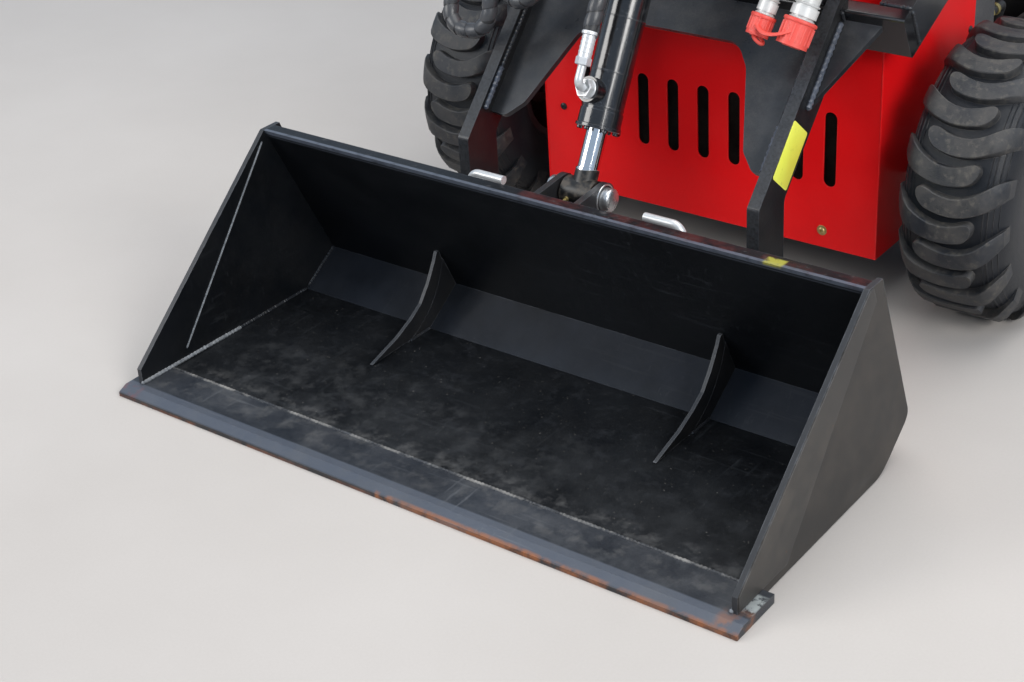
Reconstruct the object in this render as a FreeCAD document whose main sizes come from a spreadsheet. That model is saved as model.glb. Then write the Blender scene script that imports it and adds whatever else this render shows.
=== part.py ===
import FreeCAD, Part
import math
import os
import re
from types import SimpleNamespace

from FreeCAD import Placement, Rotation, Vector

# Compact wheeled skid steer loader with a smooth bucket, parked with the bucket flat on the ground.
# Frame: +Z up, the machine looks along -Y, +X is its left side, origin on the ground at the
# centre of the whole length and width. Lengths along the machine are stations, counted back
# from the cutting edge, and shifted by half the overall length when a piece is placed.

os.makedirs("parts", exist_ok=True)
doc = FreeCAD.newDocument("SkidSteerLoader")
sheet = doc.addObject("Spreadsheet::Sheet", "Sizes")

# Driving dimensions: name, value in mm (angles in degrees), what it is
SIZES = [
    ("overall_length", 2240, "cutting edge to rear of the folded-down footplate"),
    # bucket
    ("edge_over", 17, "cutting edge beyond the bucket's side"),
    ("edge_depth", 90, "front to back of the cutting edge"),
    ("edge_thick", 14, "thickness of the cutting edge"),
    ("edge_nose", 7, "thickness left at the bevelled front"),
    ("edge_bevel", 16, "length of the front bevel"),
    ("side_outer", 533, "centre to the outer face of a bucket side"),
    ("side_thick", 8, "bucket side plate"),
    ("side_front", 29, "station of the side plate's front"),
    ("side_step", 25, "upright part of the side plate's front"),
    ("shell_thick", 6, "bent sheet of the bucket"),
    ("floor_under", 5, "underside of the floor above ground"),
    ("floor_rear", 404, "station of the bend behind the floor"),
    ("heel_rear", 483, "station of the rearmost bend"),
    ("heel_up", 57, "height of the rearmost bend"),
    ("lip_front", 361, "station of the bend under the lip"),
    ("lip_up", 311, "underside of the lip"),
    ("side_lap", 27, "side plate's top corner behind the bend under the lip"),
    ("lip_depth", 15, "rearward flange of the lip"),
    ("rib_place", 261, "centre to a bucket rib"),
    ("rib_thick", 6, "bucket rib"),
    ("rib_front", 265, "station of the rib's tip on the floor"),
    ("rib_top", 118, "height of the rib's tip on the back wall"),
    ("rib_hollow", 46, "how far the rib's curved edge is hollowed"),
    # tool carrier
    ("carrier_half", 292, "centre to the end of the carrier plate"),
    ("carrier_thick", 10, "carrier plate"),
    ("carrier_low", 62, "carrier's lower edge, up the bucket back"),
    ("carrier_high", 262, "carrier's upper edge, up the bucket back"),
    ("tool_pin_y", 560, "station of the tool pivot"),
    ("tool_pin_z", 140, "height of the tool pivot"),
    ("tool_pin_radius", 15, "tool pivot pin"),
    ("tool_boss", 34, "radius round the tool pivot"),
    ("ear_thick", 10, "carrier ear"),
    ("ear_gap", 6, "carrier ear to leg"),
    ("rod_eye_y", 476.5, "station of the tilt rod's eye"),
    ("rod_eye_z", 278.6, "height of the tilt rod's eye"),
    ("rod_eye_radius", 23, "outside of the rod's cross tube"),
    ("rod_eye_half", 26, "half length of the rod's cross tube"),
    ("lug_thick", 10, "clevis lugs at the rod eye"),
    ("lug_gap", 5, "clevis lug to cross tube"),
    ("handle_radius", 7, "locking lever rod"),
    ("handle_inner", 127, "centre to the bent end of a locking lever"),
    ("handle_outer", 190, "centre to the upright of a locking lever"),
    ("handle_y", 452, "station of the locking levers"),
    ("handle_z", 280, "height of the bent ends"),
    # lift arm
    ("leg_outer", 272, "centre to the outer face of a leg"),
    ("leg_thick", 20, "leg plate"),
    ("leg_front", 525, "station of the upright leg's front"),
    ("leg_depth", 72, "front to back of the upright leg"),
    ("leg_bend_z", 293, "height of the front bend"),
    ("leg_slope", 47, "rise of the sloping leg"),
    ("leg_sloped_depth", 60, "thickness of the sloping leg across its edges"),
    ("leg_over", 25, "leg carried on above the cross tube"),
    ("tube_tall", 74, "cross tube and boom, across the slope"),
    ("tube_deep", 26, "cross tube, along the slope"),
    ("tube_front_y", 751, "station of the cross tube's upper front corner"),
    ("tube_front_z", 519, "height of the cross tube's upper front corner"),
    ("boom_slope", 25.7, "rise of the booms towards the rear"),
    ("pivot_tail", 484.5, "lift pivot to the machine's rear"),
    ("boom_width", 50, "width of a boom"),
    ("boom_tail", 44, "boom carried on behind the lift pivot"),
    ("lift_pin_radius", 20, "lift pivot pin"),
    ("plate_thick", 10, "plate between the legs and its outer webs"),
    ("plate_set", 28, "plate's front, behind the front edge of the legs"),
    ("plate_low", 62, "lower end of the plate up the slope"),
    ("plate_arch", 250, "top of the arch up the slope"),
    ("arch_half_top", 148, "half width of the arch at its top"),
    ("arch_half_low", 204, "half width of the arch at its foot"),
    ("web_low", 175, "lower tip of the outer web up the slope"),
    ("web_reach", 357, "centre to the outer tip of the web"),
    # tilt cylinder
    ("tilt_pin_gap", 510, "rod eye to base pin"),
    ("tilt_lean", 61.5, "rise of the tilt cylinder"),
    ("tilt_barrel_radius", 31, "outside of the barrel"),
    ("tilt_rod_radius", 16, "chromed rod"),
    ("tilt_barrel_end", 98, "rod eye to the open end of the barrel"),
    ("tilt_base_half", 33, "half width of the base eye"),
    ("base_lug_thick", 10, "lugs at the base eye"),
    ("pin_radius", 12.5, "cylinder pins"),
    # lift cylinders
    ("lift_base_back", 94.5, "lift pivot back to the cylinder's base pin"),
    ("lift_base_z", 400, "height of the base pin"),
    ("lift_lug_run", 400, "lift pivot to the boom lug"),
    ("lift_lug_drop", 72, "boom centreline to the lug's pin"),
    ("lift_barrel_radius", 22, "outside of the barrel"),
    ("lift_rod_radius", 12.5, "chromed rod"),
    ("lift_barrel_end", 96, "rod eye to the open end of the barrel"),
    ("lift_eye_half", 14, "half width of the eyes"),
    ("lift_eye_radius", 23, "outside of the eyes"),
    # wheels
    ("wheel_radius", 228.5, "tyre over the lugs"),
    ("wheel_width", 170, "width of a tyre"),
    ("rim_radius", 104, "bead seat"),
    ("rim_wall", 5, "rim sheet"),
    ("front_axle", 958, "station of the front wheels"),
    ("axle_tail", 572, "rear wheels to the machine's rear"),
    ("tread_sides", 32, "flats round a tyre"),
    ("lug_high", 14, "height of a tread lug"),
    ("lug_wide", 28, "width of a tread lug"),
    ("lug_crown", 0.55, "flat top of a lug below the wheel's radius"),
    ("lug_past", 24, "lug's inner end beyond the middle of the tyre"),
    ("housing_radius", 38, "wheel motor housing"),
    ("stub_radius", 20, "stub shaft"),
    ("hub_radius", 55, "wheel hub"),
    # chassis
    ("body_half", 313, "centre to the outside of the red cover"),
    ("skin", 3, "cover sheet"),
    ("cover_front", 815, "station of the cover's front"),
    ("cover_rear", 1134, "station of the cover's rear edge"),
    ("cover_low", 99, "lower edge of the cover"),
    ("cover_high", 705, "top of the cover"),
    ("slot_pitch", 57.3, "slot to slot"),
    ("slot_width", 22, "slot"),
    ("slot_low", 205, "lower end of the slots"),
    ("slot_high", 330, "upper end of the slots"),
    ("frame_wall", 8, "frame side and end plates"),
    ("frame_low", 112, "underside of the belly plate"),
    ("frame_high", 330, "top of the frame sides"),
    ("frame_tail", 290, "rear of the frame to the machine's rear"),
    ("tower_thick", 6, "tower plates"),
    ("tower_ahead", 27.5, "tower's front ahead of the lift pivot"),
    ("tower_behind", 136.5, "tower's rear behind the lift pivot"),
    ("tower_round", 60, "rounded shoulder of the tower"),
    ("tower_neck", 50, "neck of the tower below the lift pivot"),
    ("tower_low", 150, "lower edge of the inner tower plate"),
    ("tower_outer_low", 500, "lower edge of the outer tower plate"),
    ("tie_radius", 14, "tie-down hole in an outer tower plate"),
    ("tie_back", 34, "tie-down hole ahead of the tower's rear"),
    ("tie_up", 36, "tie-down hole above the plate's lower edge"),
    ("tower_head", 48, "radius of the tower round the lift pivot"),
    ("hood_gap", 24, "hood's rear edge to the console"),
    ("hood_lap", 34, "hood lapped over the cover"),
    ("hood_half", 285, "half width of the hood"),
    ("hood_high", 775, "top of the hood"),
    ("hood_pin", 6, "hood hinge pin"),
    ("lamp_place", 215, "centre to a work lamp"),
    ("lamp_wide", 100, "width of a work lamp"),
    ("lamp_tall", 62, "height of a work lamp"),
    ("lamp_deep", 46, "front to back of a work lamp"),
    ("tank_deep", 92, "front to back of the fuel tank"),
    ("tank_under", 10, "tank behind the hood's rear edge"),
    ("tank_half", 230, "half width of the fuel tank"),
    ("tank_high", 640, "top of the fuel tank"),
    ("filter_radius", 60, "air filter housing"),
    ("muffler_radius", 48, "muffler"),
    ("pump_half", 55, "half width of the hydraulic pump"),
    ("pump_deep", 36, "front to back of the hydraulic pump"),
    ("pump_gap", 10, "hydraulic pump to the engine's shroud"),
    ("shroud_deep", 45, "front to back of the engine's shroud"),
    ("pump_high", 300, "top of the hydraulic pump"),
    ("console_deep", 219, "front to back of the console"),
    ("console_gap", 25, "console to the frame's rear"),
    ("console_half", 235, "half width of the console"),
    ("console_high", 1060, "front top edge of the console"),
    ("console_rear_high", 930, "rear top edge of the console"),
    ("bar_radius", 15, "grab bar tube"),
    ("bar_high", 1225, "top of the grab bar"),
    ("bar_half", 215, "half width of the grab bar"),
    ("step_hinge_back", 32, "frame's rear to the footplate hinge"),
    ("step_hinge_z", 190, "height of the footplate hinge"),
    ("step_half", 225, "half width of the footplate"),
    ("step_thick", 5, "footplate sheet"),
    ("step_edge", 30, "height of the footplate's rim"),
    ("engine_deep", 370, "front to back of the engine"),
    ("engine_half", 150, "half width of the crankcase"),
    ("engine_high", 560, "top of the crankcase"),
    ("head_out", 96, "cylinder head beyond the crankcase"),
    ("head_deep", 140, "front to back of a cylinder head"),
    ("head_low", 345, "underside of a cylinder head"),
    ("head_tall", 150, "height of a cylinder head"),
    ("fin_over", 10, "cooling fin beyond the head"),
    ("fin_thick", 4, "cooling fin"),
    ("fin_pitch", 14, "fin to fin"),
    ("valve_wide", 46, "width of the valve block"),
    ("valve_deep", 80, "front to back of the valve block"),
    ("valve_tall", 180, "height of the valve block"),
    ("valve_port", 11, "radius of a valve block fitting"),
    ("pad_half", 170, "half width of the knee pad"),
    ("pad_low", 640, "lower edge of the knee pad"),
    ("pad_high", 900, "upper edge of the knee pad"),
    ("pad_thick", 22, "thickness of the knee pad"),
    ("port_radius", 19, "port boss on the tilt barrel"),
    ("port_high", 14, "port boss proud of the barrel"),
    ("hose_radius", 11, "hydraulic hose"),
    ("hose_bend", 36, "centreline bend of a hose"),
    ("hose_out", 70, "tilt cylinder's centre to its hoses"),
    ("hose_guide", 19, "guide hole round a tilt hose"),
    ("ferrule_radius", 10, "crimped hose end"),
    ("elbow_radius", 6.5, "elbow of a hose end"),
    ("hose_gap", 28, "hose to hose on a boom"),
    ("block_run", 700, "boom's front to the hose block"),
    ("block_long", 60, "length of a hose block"),
    ("block_tall", 40, "height of a hose block"),
    ("cap_small", 17, "small coupler cap"),
    ("cap_large", 23, "large coupler cap"),
    ("rod_collar", 2, "collar of a rod beyond its shaft"),
    ("eye_side_gap", 2, "lift rod's eye to a boom lug"),
    ("lug_plate", 8, "boom lug"),
    ("tilt_spare", 62, "free run of the tilt piston behind rest"),
    ("lift_spare", 13, "free run of a lift piston behind rest"),
    ("running_gap", 0.05, "radial clearance of pins"),
    ("seat_gap", 0.3, "clearance where a curved piece is seated"),
]
# Sizes that follow from others: name, sum, what it is
DERIVED = [
    ("wheel_inner", "body_half + 58", "centre to the inner side of a tyre"),
    ("lift_plane", "body_half + 32", "centre to a lift cylinder"),
    ("tube_end", "body_half + 59", "centre to the end of the cross tube"),
    ("edge_width", "2 * (side_outer + edge_over)", "width of the cutting edge"),
    ("pivot_y", "overall_length - pivot_tail", "station of the lift pivot"),
    ("lift_base_y", "pivot_y + lift_base_back", "station of the lift cylinders' base pins"),
    ("tower_front", "pivot_y - tower_ahead", "station of the tower's front"),
    ("tower_rear", "pivot_y + tower_behind", "station of the tower's rear"),
    ("rear_axle", "overall_length - axle_tail", "station of the rear wheels"),
    ("frame_rear", "overall_length - frame_tail", "station of the frame's rear"),
    ("step_hinge_y", "frame_rear + step_hinge_back", "station of the footplate hinge"),
    ("console_rear", "frame_rear - console_gap", "station of the console's rear"),
    ("console_front", "console_rear - console_deep", "station of the console's front"),
    ("hood_rear", "console_front - hood_gap", "station of the hood's rear edge"),
    ("tank_rear", "hood_rear + tank_under", "station of the fuel tank's rear"),
    ("tank_front", "tank_rear - tank_deep", "station of the fuel tank's front"),
    ("engine_rear", "tank_front", "station of the engine's rear"),
    ("engine_front", "engine_rear - engine_deep", "station of the engine's front"),
]
ROWS = [(alias, str(value), note) for alias, value, note in SIZES]
ROWS += [(alias, "=" + total, note) for alias, total, note in DERIVED]
for row, (alias, value, note) in enumerate(ROWS, start=1):
    sheet.set("A%d" % row, alias)
    sheet.set("B%d" % row, value)
    sheet.set("C%d" % row, note)
    sheet.setAlias("B%d" % row, alias)
doc.recompute()
ALIASES = [alias for alias, value, note in ROWS]
s = SimpleNamespace(**{alias: float(sheet.get(alias)) for alias in ALIASES})

NODES = []
BACK = s.overall_length / 2


def bound(text):
    """Turn a sum of size names into an expression that reads the sheet."""
    return re.sub(r"[a-z_]+", lambda m: "Sizes." + m[0] if m[0] in ALIASES else m[0], str(text))


def bind(piece, **sums):
    for prop, text in sums.items():
        piece.setExpression(prop.replace("__", "."), bound(text))
    return piece


def put(piece, x=None, y=None, z=None):
    """Bind a piece's place: x and z from the centre and the ground, y as a station."""
    if x is not None:
        piece.setExpression("Placement.Base.x", bound(x))
    if y is not None:
        piece.setExpression("Placement.Base.y", bound("(%s) - overall_length / 2" % y))
    if z is not None:
        piece.setExpression("Placement.Base.z", bound(z))
    return piece


def node(label, piece):
    piece.Label = label
    NODES.append(piece)
    return piece


def box(name, x, y, z, lx, ly, lz):
    return put(bind(doc.addObject("Part::Box", name), Length=lx, Width=ly, Height=lz), x, y, z)


def bar_x(name, x, y, z, radius, length):
    """Round bar along X."""
    piece = bind(doc.addObject("Part::Cylinder", name), Radius=radius, Height=length)
    piece.Placement = Placement(Vector(), Rotation(Vector(0, 1, 0), 90))
    return put(piece, x, y, z)


def bar_z(name, x, y, z, radius, length):
    """Upright round bar."""
    return put(bind(doc.addObject("Part::Cylinder", name), Radius=radius, Height=length), x, y, z)


def bar_y(name, x, y, z, radius, length):
    """Round bar along Y, from a station backwards."""
    piece = bind(doc.addObject("Part::Cylinder", name), Radius=radius, Height=length)
    piece.Placement = Placement(Vector(), Rotation(Vector(1, 0, 0), -90))
    return put(piece, x, y, z)


def fuse(name, pieces):
    whole = doc.addObject("Part::MultiFuse", name)
    whole.Shapes = pieces
    return whole


def cut(name, base, tools):
    tool = tools[0] if len(tools) == 1 else fuse(name + "_cutter", tools)
    whole = doc.addObject("Part::Cut", name)
    whole.Base = base
    whole.Tool = tool
    return whole


def mirrored(name, piece):
    other = doc.addObject("Part::Mirroring", name)
    other.Source = piece
    other.Normal = Vector(1, 0, 0)
    other.Base = Vector(0, 0, 0)
    return other


def group(name, pieces):
    whole = doc.addObject("Part::Compound", name)
    whole.Links = pieces
    return whole


def pair(name, piece):
    """A piece of the left side and its mirror image, as one node."""
    return group(name, [piece, mirrored(name + "_other", piece)])


def outline(corners):
    """Closed outline of lines and arcs; a corner is (a, b) or (a, b, radius)."""
    points = [Vector(c[0], c[1], 0) for c in corners]
    radii = [c[2] if len(c) > 2 else 0 for c in corners]
    starts, ends, arcs = [], [], []
    count = len(points)
    for i, here in enumerate(points):
        to_last = (points[i - 1] - here).normalize()
        to_next = (points[(i + 1) % count] - here).normalize()
        half = to_last.getAngle(to_next) / 2
        if radii[i] == 0:
            starts.append(here)
            ends.append(here)
            arcs.append(None)
            continue
        back = radii[i] / math.tan(half)
        middle = here + (to_last + to_next).normalize() * (radii[i] / math.sin(half) - radii[i])
        starts.append(here + to_last * back)
        ends.append(here + to_next * back)
        arcs.append(Part.Arc(starts[-1], middle, ends[-1]))
    edges = []
    for i in range(count):
        if arcs[i] is not None:
            edges.append(arcs[i])
        if (starts[(i + 1) % count] - ends[i]).Length > 1e-6:
            edges.append(Part.LineSegment(ends[i], starts[(i + 1) % count]))
    return edges


def sketch(body, plane, loops, holes=()):
    """Sketch on one of the body's own origin planes."""
    flat = body.newObject("Sketcher::SketchObject", body.Name + "_sketch")
    origin = [f for f in body.Origin.OriginFeatures if f.Role == plane][0]
    flat.AttachmentSupport = [(origin, "")]
    flat.MapMode = "FlatFace"
    for loop in loops:
        flat.addGeometry(loop, False)
    for a, b, radius in holes:
        flat.addGeometry(Part.Circle(Vector(a, b, 0), Vector(0, 0, 1), radius), False)
    return flat


def plate(name, plane, corners, thick, holes=()):
    """Plate padded from an outline: YZ along +X, XZ along +Y, XY along +Z."""
    body = doc.addObject("PartDesign::Body", name)
    flat = sketch(body, plane, [outline(corners)], holes)
    pad = body.newObject("PartDesign::Pad", name + "_pad")
    pad.Profile = flat
    pad.setExpression("Length", bound(thick))
    pad.Reversed = plane == "XZ_Plane"
    body.Tip = pad
    return body


def side_plate(name, x, corners, thick, holes=()):
    """Upright plate seen from the side: corners and holes are (station, height)."""
    return put(plate(name, "YZ_Plane", corners, thick, holes), x, "0", "0")


def turned(name, profile, angle=360):
    """Solid of revolution about X: the profile's corners are (x, radius)."""
    body = doc.addObject("PartDesign::Body", name)
    flat = sketch(body, "XZ_Plane", [outline(profile)])
    spin = body.newObject("PartDesign::Revolution", name + "_spin")
    spin.Profile = flat
    spin.ReferenceAxis = (flat, ["H_Axis"])
    spin.Angle = angle
    body.Tip = spin
    return body


def bent(points, thick):
    """Corners of a bent sheet: the outer line and its copy, a thickness to the left."""
    line = [Vector(a, b, 0) for a, b in points]
    sides = []
    for here, there in zip(line, line[1:]):
        along = (there - here).normalize()
        sides.append((here + Vector(-along.y, along.x, 0) * thick, along))
    inner = [sides[0][0]]
    for (base, way), (other, next_way) in zip(sides, sides[1:]):
        cross = way.x * next_way.y - way.y * next_way.x
        gap = other - base
        inner.append(base + way * ((gap.x * next_way.y - gap.y * next_way.x) / cross))
    last_base, last_way = sides[-1]
    inner.append(line[-1] + Vector(-last_way.y, last_way.x, 0) * thick)
    return line, inner


def tube(name, points, radius, bend):
    """Round tube along straight runs joined by arcs; a fourth number on a corner is its own arc radius."""
    path = [Vector(*p[:3]) for p in points]
    arcs = [p[3] if len(p) > 3 else bend for p in points]
    edges = []
    start = path[0]
    for last, here, nxt, bend in zip(path, path[1:], path[2:], arcs[1:]):
        to_last = (last - here).normalize()
        to_next = (nxt - here).normalize()
        half = to_last.getAngle(to_next) / 2
        back = bend / math.tan(half)
        middle = here + (to_last + to_next).normalize() * (bend / math.sin(half) - bend)
        if (here - start).Length <= back or (nxt - here).Length <= back:
            raise ValueError("%s has no room for its arc at %s" % (name, here))
        arc = Part.Arc(here + to_last * back, middle, here + to_next * back)
        edges.append(Part.LineSegment(start, here + to_last * back).toShape())
        edges.append(arc.toShape())
        start = here + to_next * back
    edges.append(Part.LineSegment(start, path[-1]).toShape())
    wire = Part.Wire(edges)
    ring = Part.Wire([Part.Circle(path[0], path[1] - path[0], radius).toShape()])
    piece = doc.addObject("Part::Feature", name)
    piece.Shape = wire.makePipeShell([ring], True, False)
    piece.Placement = Placement(Vector(0, -BACK, 0), Rotation())
    return piece


def rise(angle):
    """Unit vector that rises towards the rear, as (station, height)."""
    return Vector(math.cos(math.radians(angle)), math.sin(math.radians(angle)), 0)


def across(angle):
    """Unit vector square to rise(), pointing up and forwards."""
    return Vector(-math.sin(math.radians(angle)), math.cos(math.radians(angle)), 0)


# Key points, as (station, height)
TOOL_PIN = Vector(s.tool_pin_y, s.tool_pin_z, 0)
ROD_EYE = Vector(s.rod_eye_y, s.rod_eye_z, 0)
TILT_BASE = ROD_EYE + rise(s.tilt_lean) * s.tilt_pin_gap
TUBE_CORNER = Vector(s.tube_front_y, s.tube_front_z, 0)
BOOM_START = TUBE_CORNER + rise(s.boom_slope) * s.tube_deep - across(s.boom_slope) * (s.tube_tall / 2)
LIFT_PIN = BOOM_START + rise(s.boom_slope) * ((s.pivot_y - BOOM_START.x) / rise(s.boom_slope).x)
LIFT_LUG = LIFT_PIN - rise(s.boom_slope) * s.lift_lug_run - across(s.boom_slope) * s.lift_lug_drop
LIFT_BASE = Vector(s.lift_base_y, s.lift_base_z, 0)


def make_bucket():
    """Smooth bucket: blade, bent shell, two sides and two ribs."""
    nose = [(0, 0), (s.edge_depth, 0), (s.edge_depth, s.edge_thick), (s.edge_bevel, s.edge_thick), (0, s.edge_nose)]
    node("cutting_edge", side_plate("CuttingEdge", "-edge_width / 2", nose, "edge_width"))

    back = [(s.edge_depth, s.floor_under), (s.floor_rear, s.floor_under), (s.heel_rear, s.heel_up),
            (s.lip_front, s.lip_up), (s.lip_front + s.lip_depth, s.lip_up)]
    outer, inner = bent(back, s.shell_thick)
    shell = [(p.x, p.y) for p in outer] + [(p.x, p.y) for p in reversed(inner)]
    node("bucket_shell", side_plate("BucketShell", "side_thick - side_outer", shell,
                                    "2 * (side_outer - side_thick)"))

    top = s.lip_up + s.shell_thick
    slope_front = inner[3].x
    side = [(s.side_front, s.edge_thick), (s.edge_depth + s.seat_gap, s.edge_thick), (s.edge_depth + s.seat_gap, 2),
            (s.floor_rear + 8, 2, 60), (s.heel_rear + 6, s.heel_up + 4, 20),
            (s.lip_front + s.side_lap, top), (slope_front, top, 4), (s.side_front, s.edge_thick + s.side_step)]
    left = side_plate("BucketSide", "side_outer - side_thick", side, "side_thick")
    node("bucket_sides", pair("BucketSides", left))

    floor, heel, wall = inner[1], inner[2], inner[3]
    up_wall = (s.rib_top - heel.y) / (wall.y - heel.y)
    tip = heel + (wall - heel) * up_wall
    front = Vector(s.rib_front, floor.y, 0)
    chord = tip - front
    sag = Vector(chord.y, -chord.x, 0).normalize() * s.rib_hollow
    body = doc.addObject("PartDesign::Body", "BucketRib")
    loop = [Part.LineSegment(front, floor), Part.LineSegment(floor, heel), Part.LineSegment(heel, tip),
            Part.Arc(tip, front + chord * 0.5 + sag, front)]
    flat = sketch(body, "YZ_Plane", [loop])
    pad = body.newObject("PartDesign::Pad", "BucketRib_pad")
    pad.Profile = flat
    pad.setExpression("Length", bound("rib_thick"))
    body.Tip = pad
    put(body, "rib_place - rib_thick / 2", "0", "0")
    node("bucket_ribs", pair("BucketRibs", body))


def make_carrier():
    """Quick-change carrier behind the bucket, with its ears, clevis and locking levers."""
    foot = Vector(s.heel_rear, s.heel_up, 0)
    up = (Vector(s.lip_front, s.lip_up, 0) - foot).normalize()
    out = Vector(up.y, -up.x, 0)
    low = foot + up * s.carrier_low
    high = foot + up * s.carrier_high
    face = [low, low + out * s.carrier_thick, high + out * s.carrier_thick, high]
    main = side_plate("CarrierPlate", "-carrier_half", [(p.x, p.y) for p in face], "2 * carrier_half")

    def on_face(run, proud=0.0):
        spot = foot + up * run + out * (s.carrier_thick + proud)
        return (spot.x, spot.y)

    def eye(centre, radius, run_low, run_high):
        """Ear from the carrier's face round a pin."""
        return [on_face(run_low, -2), (centre.x - radius * 0.2, centre.y - radius, radius * 0.5),
                (centre.x + radius, centre.y - radius, radius * 0.9),
                (centre.x + radius, centre.y + radius, radius * 0.9), on_face(run_high, -2)]

    ears = []
    ear_corners = eye(TOOL_PIN, s.tool_boss, s.carrier_low + 2, s.carrier_low + 118)
    hole = [(TOOL_PIN.x, TOOL_PIN.y, s.tool_pin_radius + s.running_gap)]
    places = [("Inner", "leg_outer - leg_thick - ear_gap - ear_thick"), ("Outer", "leg_outer + ear_gap")]
    for word, x in places:
        ear = side_plate("Ear" + word, x, ear_corners, "ear_thick", hole)
        ears += [ear, mirrored("Ear%sOther" % word, ear)]
    lug_corners = eye(ROD_EYE, s.rod_eye_radius + 2, s.carrier_high - 76, s.carrier_high - 4)
    lug_hole = [(ROD_EYE.x, ROD_EYE.y, s.pin_radius)]
    lug = side_plate("Clevis", "rod_eye_half + lug_gap", lug_corners, "lug_thick", lug_hole)
    ears += [lug, mirrored("ClevisOther", lug)]
    node("tool_carrier", fuse("ToolCarrier", [main] + ears))

    stub = bar_x("EyePin", "rod_eye_half + lug_gap + seat_gap", "rod_eye_y", "rod_eye_z",
                 "pin_radius - seat_gap", "lug_thick + 12")
    head = bar_x("EyePinHead", "rod_eye_half + lug_gap + lug_thick + seat_gap", "rod_eye_y", "rod_eye_z",
                 "pin_radius + 5", "9")
    node("rod_eye_pin", pair("RodEyePins", fuse("EyePinWhole", [stub, head])))

    grip = [on_face(s.carrier_low + 92), on_face(s.carrier_low + 92, 44), on_face(s.carrier_low + 134, 44),
            on_face(s.carrier_low + 134)]
    block = side_plate("LeverBlock", "handle_outer - 15", grip, "30")
    foot_z = on_face(s.carrier_low + 100, 30)[1]
    bent_rod = tube("LeverRod", [(s.handle_outer, s.handle_y, foot_z), (s.handle_outer, s.handle_y, s.handle_z),
                                 (s.handle_inner, s.handle_y, s.handle_z)], s.handle_radius, 16)
    node("lever_handles", pair("LeverHandles", fuse("Lever", [bent_rod, block])))


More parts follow.
